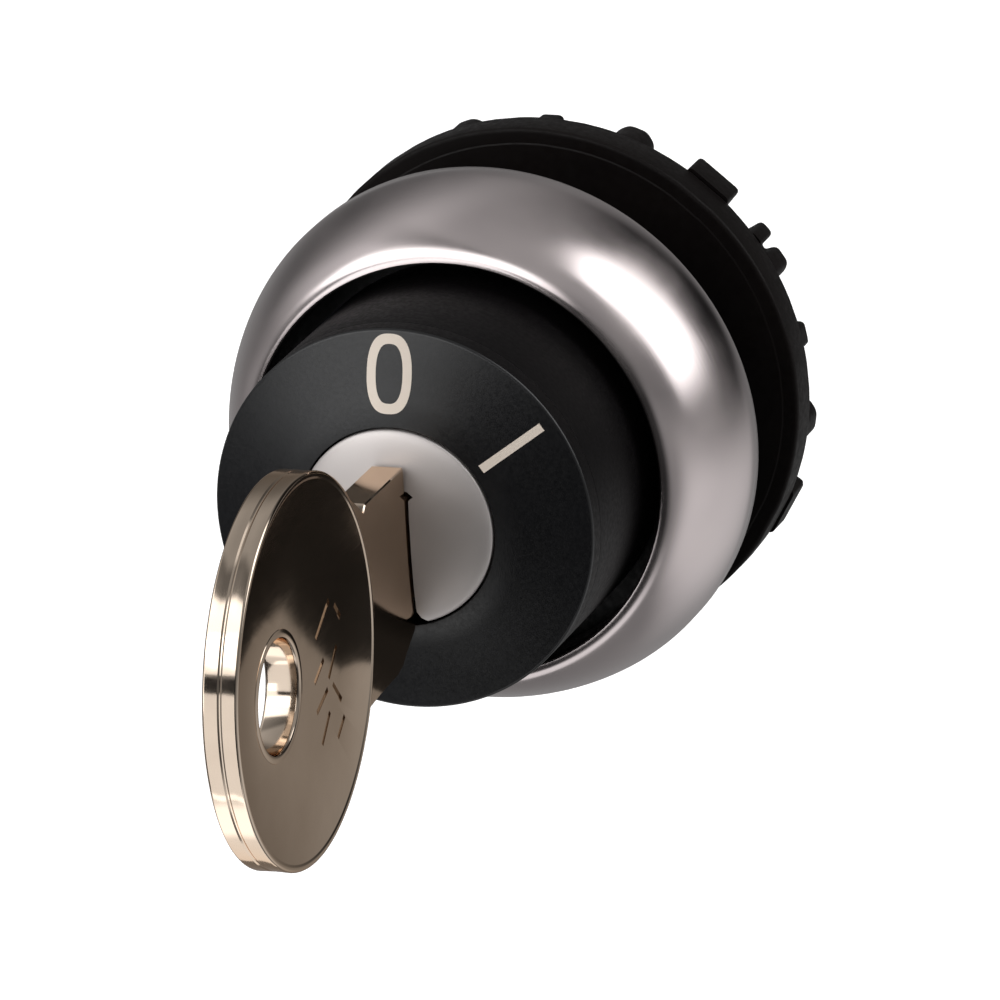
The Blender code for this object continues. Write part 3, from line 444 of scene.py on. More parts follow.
RING_LIP = 11.46 * MM
RING_CAVITY = 13.2 * MM
RING_CAVITY_DEPTH = 3.8 * MM
RING_SKIRT = 1.2 * MM
RING_CORNER = 0.12 * MM
RING_CHAMFER = 0.035 * MM
# Exponents of the dome's curve: how it rises from the lip, and how full its shoulder is
RING_RISE, RING_SHOULDER = 1.3, 0.54


def make_front_ring():
    """Domed metal ring with a rolled lip and a small radius at its back edge."""
    outer = RING_HIGH.x
    back = RING_HIGH.y
    front = RING_LOW.y
    lip = RING_LIP
    dome_lip = lip + RING_CORNER
    dome_back = back - RING_SKIRT
    steps = 40
    outline = [(outer - RING_CORNER, back), (outer - RING_CHAMFER, back - RING_CHAMFER),
               (outer, back - RING_CORNER)]
    for step in range(steps + 1):
        lean = math.sin(0.5 * math.pi * step / steps)
        height = (1.0 - lean ** RING_RISE) ** RING_SHOULDER if step < steps else 0.0
        outline.append((dome_lip + (outer - dome_lip) * height, dome_back + (front - dome_back) * lean))
    outline += [(lip + RING_CHAMFER, front + 0.05 * MM), (lip, front + 0.2 * MM)]
    cavity_front = back - RING_CAVITY_DEPTH
    outline += [(lip, cavity_front), (RING_CAVITY, cavity_front), (RING_CAVITY, back)]
    add_object("front_ring_shell", turned(outline, 192), TITANIUM, "housing", ["front_ring"])


GASKET_BORE = 11.25 * MM
GASKET_RIB = 0.15 * MM


def make_gasket():
    """Rubber ring with two shallow sealing ribs on its panel side."""
    outer = GASKET_HIGH.x
    front, back = GASKET_LOW.y, GASKET_HIGH.y
    valley = back - GASKET_RIB
    outline = [(outer, front), (outer, valley)]
    steps = 24
    for step in range(steps + 1):
        across = step / steps
        wave = 0.5 - 0.5 * math.cos(4.0 * math.pi * across)
        outline.append((outer - (outer - GASKET_BORE) * across, valley + GASKET_RIB * wave))
    outline += [(GASKET_BORE, valley), (GASKET_BORE, front)]
    add_object("gasket_ring", turned(outline, 128), RUBBER, "housing", ["gasket"])


# -------------------------------- collar and dial

COLLAR_SPIGOT = 8.7 * MM
COLLAR_SPIGOT_LENGTH = 3.2 * MM
COLLAR_BORE = 7.9 * MM
COLLAR_EDGE = 0.03 * MM
DIAL_SEAM = 0.02 * MM


def make_collar():
    """Black tube behind the dial plate; its front edge meets the plate in a fine seam."""
    outer = FACE_HIGH.x
    front = FACE_HIGH.y + DIAL_SEAM
    back = COLLAR_HIGH.y
    shoulder = back - COLLAR_SPIGOT_LENGTH
    outline = rounded([
        (COLLAR_BORE, front), (outer, front), (outer, shoulder),
        (COLLAR_SPIGOT, shoulder), (COLLAR_SPIGOT, back), (COLLAR_BORE, back),
    ], COLLAR_EDGE)
    add_object("collar_tube", turned(outline, 160), COLLAR, "housing", ["collar"])


DIAL_EDGE = 0.2 * MM
DIAL_HOLE = 5.47 * MM
DIAL_RIM_Y = -15.94 * MM
DIAL_SLOPE = 0.25
DIAL_RINGS = (7.0 * MM, 8.7 * MM)
# Faces whose normal has less of Y than this belong to the dial's side
DIAL_SIDE_SHARE = 0.2


def dial_y(radius):
    """Y of the dial's shallow cone at a radius."""
    return DIAL_RIM_Y - DIAL_SLOPE * (FACE_HIGH.x - DIAL_EDGE - radius)


def make_dial():
    """Grained dial plate: a shallow cone that rises to the plug, with a soft rim."""
    outer = FACE_HIGH.x
    back = FACE_HIGH.y
    hole_y = dial_y(DIAL_HOLE)
    outline = [(DIAL_HOLE, back), (DIAL_HOLE, hole_y + 0.07 * MM)]
    outline.append((DIAL_HOLE + 0.02 * MM, hole_y + 0.02 * MM))
    outline += [(radius, dial_y(radius)) for radius in (DIAL_HOLE + 0.07 * MM, *DIAL_RINGS)]
    lean = -90.0 + math.degrees(math.atan(DIAL_SLOPE))
    steps = 8
    for step in range(steps + 1):
        angle = math.radians(lean - lean * step / steps)
        outline.append((outer - DIAL_EDGE + DIAL_EDGE * math.cos(angle),
                        DIAL_RIM_Y + DIAL_EDGE + DIAL_EDGE * math.sin(angle)))
    outline += [(outer, back - DIAL_SEAM), (outer - DIAL_SEAM, back)]
    plate_object = add_object("dial_plate", turned(outline, 160), DIAL, "housing",
                              ["face_plate"])
    plate_object.data.materials.append(COLLAR)
    for face in plate_object.data.polygons:
        if abs(face.normal.y) < DIAL_SIDE_SHARE:
            face.material_index = 1


def stadium_loop(width, height, squareness, steps):
    """An upright oval with straighter sides than an ellipse, as (x, z) points."""
    loop = []
    for step in range(steps):
        angle = math.tau * step / steps
        cos_a, sin_a = math.cos(angle), math.sin(angle)
        x = 0.5 * width * math.copysign(abs(cos_a) ** squareness, cos_a)
        z = 0.5 * height * math.copysign(abs(sin_a) ** (0.5 + 0.5 * squareness), sin_a)
        loop.append((x, z))
    return loop


MARK_INK = 0.012 * MM
MARK_STEPS = 72
# The 0: its middle as (x, z), then width, height and squareness of its outer and inner oval
MARK_OFF_CENTRE = (-0.13 * MM, 8.23 * MM)
MARK_OFF_LOOPS = ((2.50 * MM, 4.10 * MM, 0.72), (1.50 * MM, 3.06 * MM, 0.72))
# The I: its angle clockwise from the top, its two ends' radii and half its width
MARK_ON_ANGLE = 55.0
MARK_ON_RADII = (5.97 * MM, 9.81 * MM)
MARK_ON_HALF = 0.235 * MM


def inked(corners):
    """Points (x, z) laid on the dial's cone, with the ink's thickness on top."""
    return [(x, dial_y(math.hypot(x, z)) - MARK_INK, z) for x, z in corners]


def make_marks():
    """Printed 0 and I, laid on the dial as a thin film of ink."""
    loops = []
    right, up = MARK_OFF_CENTRE
    for size in MARK_OFF_LOOPS:
        loops.append(inked([(x + right, z + up) for x, z in stadium_loop(*size, MARK_STEPS)]))
    add_object("dial_mark_off", plate(loops, (0.0, MARK_INK, 0.0)), PRINT, "housing")

    side = point(MARK_ON_HALF, MARK_ON_ANGLE + 90.0, 0.0)
    corners = []
    inner, outer = MARK_ON_RADII
    for radius, across in ((inner, -1), (outer, -1), (outer, 1), (inner, 1)):
        spot = point(radius, MARK_ON_ANGLE, 0.0) + side * across
        corners.append((spot.x, spot.z))
    add_object("dial_mark_on", plate([inked(corners)], (0.0, MARK_INK, 0.0)), PRINT, "housing")


# -------------------------------- lock plug

PLUG_HEAD = 5.37 * MM
PLUG_HEAD_LENGTH = 5.03 * MM
PLUG_CROWN = 0.72 * MM
PLUG_CROWN_SHAPE = 0.94
PLUG_BODY = 5.1 * MM
PLUG_BODY_BACK = 2.0 * MM
PLUG_GROOVE = 4.45 * MM
PLUG_GROOVE_Y = (0.45 * MM, 1.45 * MM)
TANG_HALF_X, TANG_HALF_Z = 1.5 * MM, 3.5 * MM
SLOT_HALF = 1.0 * MM
SLOT_TOP = 2.2 * MM
SLOT_FOOT = -5.15 * MM
SLOT_LOW = -7.0 * MM
SLOT_BACK = 0.1 * MM
WAFER_FIRST_Y = -11.5 * MM
WAFER_SPACING = 2.3 * MM
WAFER_COUNT = 5
WAFER_SLOT_HALF = 0.55 * MM


def slot_section():
    """Keyway's outline as (x, z) points: a small arrow head at the top and a flared foot."""
    half, top, foot = SLOT_HALF, SLOT_TOP, SLOT_FOOT
    right = [
        (half + 0.62 * MM, SLOT_LOW), (half + 0.55 * MM, foot), (half + 0.2 * MM, foot + 0.24 * MM),
        (half, foot + 0.6 * MM), (half, top - 0.5 * MM), (half + 0.27 * MM, top - 0.28 * MM),
        (half - 0.02 * MM, top - 0.04 * MM), (0.9 * MM, top),
    ]
    return right + [(-x, z) for x, z in reversed(right)]


def make_plug():
    """Turning plug: domed head, flared keyway, wafer slots, clip groove and tang."""
    front = PLUG_LOW.y
    head_back = front + PLUG_HEAD_LENGTH
    groove_front, groove_back = PLUG_GROOVE_Y
    outline = []
    steps = 36
    for step in range(steps + 1):
        lean = 0.5 * math.pi * step / steps
        outline.append((PLUG_HEAD * math.sin(lean) ** PLUG_CROWN_SHAPE,
                        front + PLUG_CROWN * (1.0 - math.cos(lean))))
    outline += [
        (PLUG_HEAD, head_back), (PLUG_BODY, head_back), (PLUG_BODY, groove_front),
        (PLUG_GROOVE, groove_front), (PLUG_GROOVE, groove_back), (PLUG_BODY, groove_back),
        (PLUG_BODY, PLUG_BODY_BACK), (0.0, PLUG_BODY_BACK),
    ]
    base = turned(outline, 144, closed=False)
    tang = box((-TANG_HALF_X, PLUG_BODY_BACK - 0.5 * MM, -TANG_HALF_Z),
               (TANG_HALF_X, PLUG_HIGH.y, TANG_HALF_Z))
    base = join_shapes(base, [tang], "UNION")
    slot_front = front - CLEAR
    cuts = [plate([[(x, slot_front, z) for x, z in slot_section()]], (0.0, SLOT_BACK - slot_front, 0.0))]
    for index in range(WAFER_COUNT):
        near = WAFER_FIRST_Y + WAFER_SPACING * index - WAFER_SLOT_HALF
        far = near + 2.0 * WAFER_SLOT_HALF
        cuts.append(box((-3.4 * MM, near, -3.7 * MM), (3.4 * MM, far, 7.0 * MM)))
        cuts.append(box((-3.4 * MM, near, SLOT_LOW), (2.15 * MM, far, -3.6 * MM)))
    base = join_shapes(base, cuts, "DIFFERENCE")
    add_object("plug_body", base, PLUG_METAL, "plug", ["lock_plug"])


# -------------------------------- key

KEY_HALF = KEY_HIGH.x
BOW_CENTRE = Vector((0.0, -33.95 * MM, -2.08 * MM))
BOW_RADIUS = 10.33 * MM
KEY_HOLE_CENTRE = Vector((0.0, -38.1 * MM, -1.95 * MM))
KEY_HOLE_RADIUS = 3.15 * MM
KEY_EYELET_WALL = 0.17 * MM
KEY_BEVEL = 0.16 * MM
KEY_DISH = 0.06 * MM
# The neck and the blade are each a hair thinner than the part before them
KEY_NECK_HALF = KEY_HALF - KEY_DISH - 0.01 * MM
KEY_BLADE_HALF = KEY_NECK_HALF - 0.01 * MM
KEY_SEAM = 0.07 * MM
KEY_STOP_Y = -17.98 * MM
BLADE_Z = (-3.9 * MM, 1.9 * MM)
KEY_CUTS = (0.5 * MM, 0.9 * MM, 0.35 * MM, 0.75 * MM, 0.6 * MM)
KEY_GROOVE_DEPTH = 0.36 * MM
KEY_GROOVE_Z = (-1.2 * MM, 0.2 * MM)
ACROSS_KEY = Matrix.Rotation(math.radians(-90.0), 4, "Z")


def key_disc(outline, centre, closed=False):
    """Spin an outline of (radius, x) points about an axis across the key."""
    bm = turned(outline, 180, closed=closed)
    bm.transform(Matrix.Translation(centre) @ ACROSS_KEY)
    return bm


def mirrored(half_outline):
    """An outline that ends at the middle plane, continued as its mirror image."""
    return half_outline + [(radius, -x) for radius, x in reversed(half_outline) if x > 0.0]


def key_bow():
    """Dished disc with a rounded bevel, and a fine parting seam round its edge."""
    half = KEY_HALF
    face = half - KEY_DISH
    rim = BOW_RADIUS
    outline = [(0.0, face), (0.5 * rim, face), (rim - 0.44 * MM, face), (rim - 0.40 * MM, face + 0.008 * MM)]
    outline += [(rim - 0.32 * MM, half - 0.010 * MM), (rim - 0.27 * MM, half)]
    outline += arc_points((rim - KEY_BEVEL, half - KEY_BEVEL), KEY_BEVEL, 90.0, 0.0, 8)
    outline += [(rim - 0.015 * MM, 0.40 * MM), (rim - 0.022 * MM, 0.13 * MM)]
    outline += [(rim - KEY_SEAM, 0.035 * MM), (rim - KEY_SEAM, 0.0)]
    return key_disc(mirrored(outline), BOW_CENTRE)


def key_hole():
    """Cutter for the ring hole."""
    reach = 3.0 * KEY_HALF
    outline = [(0.0, reach), (KEY_HOLE_RADIUS, reach), (KEY_HOLE_RADIUS, -reach), (0.0, -reach)]
    return key_disc(outline, KEY_HOLE_CENTRE)


def key_eyelet():
    """Rolled lip that lines the ring hole and stands a little proud of both faces."""
    crest = KEY_HALF
    inner = KEY_HOLE_RADIUS - KEY_EYELET_WALL
    half = [
        (inner, crest - 0.20 * MM), (inner + 0.015 * MM, crest - 0.12 * MM),
        (inner + 0.06 * MM, crest - 0.045 * MM), (inner + 0.14 * MM, crest - 0.006 * MM),
        (inner + 0.22 * MM, crest), (inner + 0.32 * MM, crest - 0.012 * MM),
        (inner + 0.46 * MM, crest - 0.03 * MM), (inner + 0.50 * MM, crest - KEY_DISH - 0.03 * MM),
    ]
    return key_disc(mirrored(half), KEY_HOLE_CENTRE, closed=True)


def bevelled_plate(outline, half, bevel):
    """A plate across X with small bevels; the outline holds (y, z) points, anticlockwise."""
    levels = []
    for x, inset in ((-half, bevel), (-half + bevel, 0.0), (half - bevel, 0.0), (half, bevel)):
        levels.append([(x, y, z) for y, z in shrunk(outline, inset)])
    return stacked(levels)


def key_neck():
    """Neck between the bow and the plug: a notch on its top edge, and a step into the slot."""
    outline = [
        (-30.0, -6.0), (-25.3, -7.33), (-23.3, -7.15), (-20.6, -7.05), (-19.7, -6.85), (-19.0, -6.35),
        (-17.5, -5.5), (-17.5, 2.05), (-17.98, 2.06), (-17.98, 3.6), (-23.85, 3.6), (-24.0, 3.5),
        (-24.2, 3.28), (-24.35, 3.35), (-24.7, 3.7), (-26.8, 5.1), (-30.0, 4.2),
    ]
    return bevelled_plate([(y * MM, z * MM) for y, z in outline], KEY_NECK_HALF, 0.07 * MM)


def key_blade():
    """Blade with rounded tip and five cuts on its lower edge."""
    tip = KEY_HIGH.y
    low, high = BLADE_Z
    outline = [(KEY_STOP_Y - CLEAR, low)]
    # Each cut: distance along the blade from its middle in millimetres, and share of its depth
    cut_shape = ((-0.9, 0.0), (-0.42, 0.9), (-0.3, 1.0), (0.3, 1.0), (0.42, 0.9), (0.9, 0.0))
    for index, depth in enumerate(KEY_CUTS):
        middle = WAFER_FIRST_Y + index * WAFER_SPACING
        outline += [(middle + along * MM, low + share * depth) for along, share in cut_shape]
    outline += [(tip - 0.9 * MM, low), (tip - 0.5 * MM, low + 0.9 * MM), (tip - 0.1 * MM, low + 2.0 * MM)]
    outline += [(tip, low + 2.5 * MM), (tip - 0.1 * MM, low + 3.1 * MM), (tip - 0.9 * MM, high)]
    outline.append((KEY_STOP_Y - CLEAR, high))
    return bevelled_plate(outline, KEY_BLADE_HALF, 0.10 * MM)


# Stamped strokes on each face: middle (y, z), half length, half width, in millimetres, and lean.
KEY_STROKES = (
    (-31.2, -0.2, 1.30, 0.17, 32.0), (-29.0, -0.5, 0.60, 0.17, -50.0),
    (-32.1, -2.7, 0.85, 0.16, 28.0), (-30.1, -2.9, 0.95, 0.16, 44.0),
    (-31.9, -4.4, 0.95, 0.16, 22.0), (-29.7, -4.7, 0.85, 0.16, -48.0),
    (-31.6, -6.0, 0.95, 0.16, 44.0), (-29.4, -6.7, 0.70, 0.16, 36.0),
)
KEY_STROKE_DEPTH = 0.10 * MM


def key_stamps():
    """Cutters for a few plain stamped strokes beside the ring hole, on both faces."""
    cutters = []
    face = KEY_HALF - KEY_DISH
    for side in (-1.0, 1.0):
        for y, z, length, width, lean in KEY_STROKES:
            corner = Vector((KEY_STROKE_DEPTH, length * MM, width * MM))
            bar = box(-corner, corner)
            spin = Matrix.Rotation(math.radians(lean), 4, "X")
            bar.transform(Matrix.Translation((side * face, y * MM, z * MM)) @ spin)
            cutters.append(bar)
    return cutters


def make_key():
    """Key: bow, neck and blade joined, then the hole, the blade's grooves and the stamps cut."""
    base = join_shapes(key_bow(), [key_neck(), key_blade()], "UNION")
    cuts = [key_hole()]
    for side in (-1.0, 1.0):
        inner, outer = sorted((side * (KEY_HALF - KEY_GROOVE_DEPTH), side * (KEY_HALF + CLEAR)))
        low, high = KEY_GROOVE_Z
        cuts.append(box((inner, KEY_STOP_Y + CLEAR, low), (outer, KEY_HIGH.y + CLEAR, high)))
    base = join_shapes(base, cuts + key_stamps(), "DIFFERENCE")
    base = join_shapes(base, [key_eyelet()], "UNION")
    add_object("key_body", base, NICKEL, "key", ["key"], angle=math.radians(24.0))


# -------------------------------- ring nut

NUT_LUG_PITCH_DEG = 20.0
NUT_LUG_FLANK_DEG = 0.6
NUT_ROOT_RADIUS = 13.2 * MM
NUT_FLANGE_BACK_Y = 9.0 * MM
NUT_BORE_RADIUS = 10.96 * MM
NUT_EDGE = 0.22 * MM
NUT_STEP = 0.05 * MM
NUT_THREADS = 5
NUT_THREAD_DEPTH = 0.32 * MM
NUT_THREAD_INSET = 0.3 * MM
# Each kind of lug: (angle from the lug's middle in degrees, tip radius in millimetres)
NUT_LUGS = (
    ((-2.6, 14.2), (2.6, 14.2)),
    ((-4.5, 14.0), (-2.0, 14.5), (2.0, 14.5), (4.5, 14.0)),
    ((-5.5, 14.8), (5.5, 14.8)),
    ((-6.6, 14.6), (-3.1, 14.7), (-2.3, 13.8), (-1.0, 13.8), (-0.3, 14.5), (3.9, 14.6), (5.5, 14.1)),
)


def nut_lug_outline():
    """Rounded outline of the lug ring as (x, z) points, clockwise from straight up."""
    corners = []
    for lug in range(round(360.0 / NUT_LUG_PITCH_DEG)):
        middle = lug * NUT_LUG_PITCH_DEG
        tips = NUT_LUGS[lug % len(NUT_LUGS)]
        corners.append((middle + tips[0][0] - NUT_LUG_FLANK_DEG, NUT_ROOT_RADIUS))
        corners += [(middle + offset, radius * MM) for offset, radius in tips]
        corners.append((middle + tips[-1][0] + NUT_LUG_FLANK_DEG, NUT_ROOT_RADIUS))
        corners.append((middle + 0.5 * NUT_LUG_PITCH_DEG, NUT_ROOT_RADIUS))
    flat = [point(radius, angle, 0.0) for angle, radius in corners]
    return rounded([(spot.x, spot.z) for spot in flat], 0.3 * MM)


def make_ring_nut():
    """Nut: a smooth flange with rounded edges, and a ring of lugs for the spanner behind it."""
    lugs = nut_lug_outline()
    angles = [math.degrees(math.atan2(x, z)) for x, z in lugs]
    front, back = NUT_LOW.y, NUT_HIGH.y
    rim = min(NUT_HIGH.x, NUT_HIGH.z, -NUT_LOW.z)
    bore = NUT_BORE_RADIUS
    flange_front, flange_back = front + NUT_STEP, NUT_FLANGE_BACK_Y

    def circle_level(radius, y):
        return [tuple(point(radius, angle, y)) for angle in angles]

    def lug_level(inset, y):
        level = []
        for x, z in lugs:
            spot = Vector((x, 0.0, z))
            spot.length = spot.length - inset
            level.append((spot.x, y, spot.z))
        return level

    thread_back = back - NUT_THREAD_INSET
    step = (back - front - 2.0 * NUT_THREAD_INSET) / NUT_THREADS
    circles = [(bore, thread_back)]
    for turn in range(NUT_THREADS):
        y = thread_back - step * (turn + 0.5)
        circles += [(bore + NUT_THREAD_DEPTH, y), (bore, y - 0.5 * step)]
    circles += [(bore + 0.25 * MM, front), (rim - 0.9 * MM, front)]
    circles += [(rim - 0.82 * MM, flange_front), (rim - NUT_EDGE - 0.05 * MM, flange_front)]
    edge_steps = 4
    for part in range(edge_steps):
        angle = math.radians(90.0 * (part + 0.5) / edge_steps)
        circles.append((rim - NUT_EDGE * (1.0 - math.sin(angle)),
                        flange_front + NUT_EDGE * (1.0 - math.cos(angle))))
    circles += [(rim, flange_front + NUT_EDGE), (rim, flange_back - 0.15 * MM)]
    circles += [(rim - 0.05 * MM, flange_back - 0.04 * MM), (rim - 0.16 * MM, flange_back)]
    lug_rows = ((0.0, flange_back + 0.002 * MM), (0.0, back - 0.18 * MM), (0.05 * MM, back - 0.05 * MM),
                (0.17 * MM, back))
    # A shallow groove runs round the nut's back
    back_circles = ((12.75 * MM, back), (12.7 * MM, back - 0.35 * MM), (11.95 * MM, back - 0.35 * MM),
                    (11.9 * MM, back), (bore + 0.3 * MM, back))
    levels = [circle_level(*row) for row in circles]
    levels += [lug_level(*row) for row in lug_rows]
    levels += [circle_level(*row) for row in back_circles]
    bm = bmesh.new()
    rows = [[bm.verts.new(corner) for corner in level] for level in levels]
    skinned(bm, rows + rows[:1])
    add_object("ring_nut_moulded", bm, NUT, "ring_nut", ["ring_nut"])


# -------------------------------- barrel and rear cover

THREAD_RADIUS = 10.9 * MM
THREAD_ROOT = 10.1 * MM
THREAD_PITCH = 1.5 * MM
THREAD_Y = (1.6 * MM, 12.1 * MM)
BARREL_BORE = 9.0 * MM
BARREL_TAIL = 10.2 * MM
BARREL_FLANGE_BACK_Y = -2.1 * MM
# Flat share of the thread's crest, and the share its flanks take
THREAD_CREST, THREAD_FLANK = 0.14, 0.66
THREAD_PLAY = 0.02 * MM


def thread_radius(y, angle_deg):
    """Radius of the helical thread, with flat crests and roots and a run-out at both ends."""
    phase = (y / THREAD_PITCH - angle_deg / 360.0) % 1.0
    slope = abs(phase - 0.5) * 2.0
    share = min(max((slope - THREAD_CREST) / THREAD_FLANK, 0.0), 1.0)
    start, end = THREAD_Y
    fade = min((y - start) / THREAD_PITCH, (end - y) / (0.8 * THREAD_PITCH), 1.0)
    crest = THREAD_RADIUS - THREAD_PLAY
    return crest - (crest - THREAD_ROOT) * share * max(fade, 0.0)


def make_barrel():
    """Threaded housing: flange, helical thread, tail with notches, locating nose and stop rib."""
    front, back = BARREL_LOW.y, BARREL_HIGH.y
    flange = BARREL_HIGH.x
    segments = 108
    samples = 84
    start, end = THREAD_Y
    bm = bmesh.new()
    columns = []
    for segment in range(segments):
        angle = 360.0 * segment / segments
        outline = [
            (BARREL_BORE, front + 0.15 * MM), (BARREL_BORE + 0.15 * MM, front), (flange - 0.15 * MM, front),
            (flange, front + 0.15 * MM), (flange, BARREL_FLANGE_BACK_Y - 0.1 * MM),
            (flange - 0.1 * MM, BARREL_FLANGE_BACK_Y), (THREAD_RADIUS, BARREL_FLANGE_BACK_Y),
        ]
        for sample in range(samples + 1):
            y = start + (end - start) * sample / samples
            outline.append((thread_radius(y, angle), y))
        outline += [
            (THREAD_RADIUS - 0.05 * MM, end + 0.08 * MM), (BARREL_TAIL + 0.05 * MM, end + 0.62 * MM),
            (BARREL_TAIL, end + 0.72 * MM), (BARREL_TAIL, back - 0.25 * MM),
            (BARREL_TAIL - 0.07 * MM, back - 0.07 * MM), (BARREL_TAIL - 0.25 * MM, back),
            (BARREL_BORE + 0.2 * MM, back), (BARREL_BORE, back - 0.2 * MM),
        ]
        columns.append([bm.verts.new(point(radius, angle, y)) for radius, y in outline])
    skinned(bm, columns + columns[:1])
    wall = 0.5 * (BARREL_BORE + THREAD_ROOT)
    nose = box((-1.4 * MM, 0.1 * MM, wall), (1.4 * MM, 1.4 * MM, 11.95 * MM))
    bmesh.ops.bevel(nose, geom=nose.edges[:], offset=0.15 * MM, segments=2, profile=0.5, affect="EDGES")
    rib = box((-1.0 * MM, 2.7 * MM, -wall), (1.0 * MM, 4.5 * MM, -8.05 * MM))
    base = join_shapes(bm, [nose, rib], "UNION")
    reach = BARREL_TAIL + CLEAR
    notch = box((-reach, 13.9 * MM, -1.6 * MM), (reach, back + CLEAR, 1.6 * MM))
    base = join_shapes(base, [notch], "DIFFERENCE")
    add_object("barrel_threaded", base, HOUSING, "housing", ["barrel"])


PLUNGER_X = 6.6 * MM
GUIDE_X = 0.985 * PLUNGER_X
COVER_THICKNESS = 1.6 * MM
COVER_STEP = 0.16 * MM
PLUNGER_SPRING_Y = (7.75 * MM, 13.55 * MM)
DETENT_Z = 3.9 * MM


def funnel(centre_x, centre_z, radius, chamfer, y_low, y_high):
    """Cutter for a round hole with a chamfer at its back."""
    outline = [
        (0.0, y_low - CLEAR), (radius, y_low - CLEAR), (radius, y_high - chamfer),
        (radius + 2.0 * chamfer, y_high + chamfer), (0.0, y_high + chamfer),
    ]
    return turned(outline, 40, closed=False, centre=(centre_x, centre_z))


def make_rear_cover():
    """Disc with rounded rim, a moulded ring step, chamfered guide holes and the detent's boss."""
    low, high = node_box("rear_cover")
    front, back = high.y - COVER_THICKNESS, high.y
    rim = high.x
    outline = [
        (0.0, front), (rim - 0.1 * MM, front), (rim, front + 0.1 * MM), (rim, back - 0.3 * MM),
        (rim - 0.09 * MM, back - 0.09 * MM), (rim - 0.3 * MM, back), (rim - 0.75 * MM, back),
        (rim - 0.8 * MM, back - COVER_STEP), (3.3 * MM, back - COVER_STEP), (3.25 * MM, back), (0.0, back),
    ]
    base = turned(outline, 120, closed=False)
    boss = turned([(0.0, low.y), (1.45 * MM, low.y), (1.6 * MM, low.y + 0.15 * MM),
                   (1.6 * MM, front + 0.4 * MM), (0.0, front + 0.4 * MM)], 40, closed=False,
                  centre=(0.0, DETENT_Z))
    guides = []
    for side in (-1.0, 1.0):
        guides.append(turned([
            (0.0, front + 0.5 * MM), (2.1 * MM, front + 0.5 * MM), (2.1 * MM, back - 0.06 * MM),
            (2.0 * MM, back), (0.0, back),
        ], 48, closed=False, centre=(side * GUIDE_X, 0.0)))
    base = join_shapes(base, [boss, *guides], "UNION")
    cuts = [funnel(0.0, 0.0, 1.95 * MM, 0.15 * MM, front, back)]
    cuts += [funnel(side * PLUNGER_X, 0.0, 1.35 * MM, 0.12 * MM, front, back) for side in (-1.0, 1.0)]
    bore = turned([(0.0, low.y - CLEAR), (1.05 * MM, low.y - CLEAR), (1.05 * MM, front + 0.4 * MM),
                   (0.0, front + 0.4 * MM)], 32, closed=False, centre=(0.0, DETENT_Z))
    base = join_shapes(base, cuts + [bore], "DIFFERENCE")
    add_object("rear_cover_moulded", base, HOUSING, "housing", ["rear_cover"])


PLUNGER_TIP = 0.8 * MM
# Radius and distance from the tip, then radius and distance from the back, in millimetres
PLUNGER_FLANGE = ((0.8, 1.4), (0.9, 1.5), (1.8, 1.5), (1.9, 1.6), (1.9, 2.2), (1.8, 2.3), (1.1, 2.3),
                  (1.0, 2.4))
PLUNGER_END = ((1.0, 0.2), (0.95, 0.07), (0.8, 0.0), (0.45, 0.0), (0.4, 0.12), (0.0, 0.12))


def make_plungers():
    """Two plungers with domed tips, flanges with soft edges and chamfered ends."""
    for side, sign in (("left", -1.0), ("right", 1.0)):
        name = f"plunger_{side}"
        low, high = node_box(name)
        tip, back = low.y, high.y
        outline = arc_points((0.0, tip + PLUNGER_TIP), PLUNGER_TIP, -90.0, 0.0, 8)
        outline += [(radius * MM, tip + along * MM) for radius, along in PLUNGER_FLANGE]
        outline += [(radius * MM, back - along * MM) for radius, along in PLUNGER_END]
        bm = turned(outline, 48, closed=False, centre=(sign * PLUNGER_X, 0.0))
        add_object(f"{name}_moulded", bm, RED, name, [name])


def make_springs():
    """Wound springs for the two plungers and for the detent."""
    start, end = PLUNGER_SPRING_Y
    for side, sign in (("left", -1.0), ("right", 1.0)):
        name = f"plunger_spring_{side}"
        bm = coil((sign * PLUNGER_X, start, 0.0), FORWARD, end - start, 1.5 * MM, 0.15 * MM, 5.0)
        piece = add_object(f"{name}_wound", bm, STEEL, "housing", [name])
        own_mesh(piece)
    low, high = node_box("detent_spring")
    bm = coil((0.0, low.y, DETENT_Z), FORWARD, high.y - low.y, 0.58 * MM, 0.1 * MM, 3.5)
    add_object("detent_spring_wound", bm, STEEL, "housing", ["detent_spring"])


# -------------------------------- studio

# Soft panels round the switch, as seen from it: azimuth from straight ahead (positive to its
# right hand side in the picture), elevation, half width, half height, edge softness, brightness.
PANELS = (
    (108.0, 37.0, 14.0, 26.0, 0.35, 3.2),
    (-30.0, 37.0, 34.0, 17.0, 0.14, 2.1),
    (-85.0, 40.0, 26.0, 20.0, 0.80, 0.50),
    (118.0, -34.0, 34.0, 20.0, 0.50, 0.55),
    (-30.0, -70.0, 40.0, 11.0, 0.30, 0.85),
)
# Grey of the walls by height: 0 straight down, 1 straight up
WALLS = ((0.0, 0.24), (0.3, 0.31), (0.48, 0.34), (0.60, 0.22), (0.78, 0.28), (0.9, 0.44))
# Dark cloths that shade the surroundings: the same columns, with the share of light they take.
CLOTHS = (
    (146.0, 18.0, 24.0, 40.0, 0.60, 0.94),
    (-128.0, 14.0, 26.0, 20.0, 0.90, 0.60),
    (-10.0, -5.0, 42.0, 26.0, 0.30, 0.90),
    (-18.0, -40.0, 46.0, 16.0, 0.30, 0.85),
    (-58.0, 62.0, 36.0, 7.0, 0.40, 0.75),
)
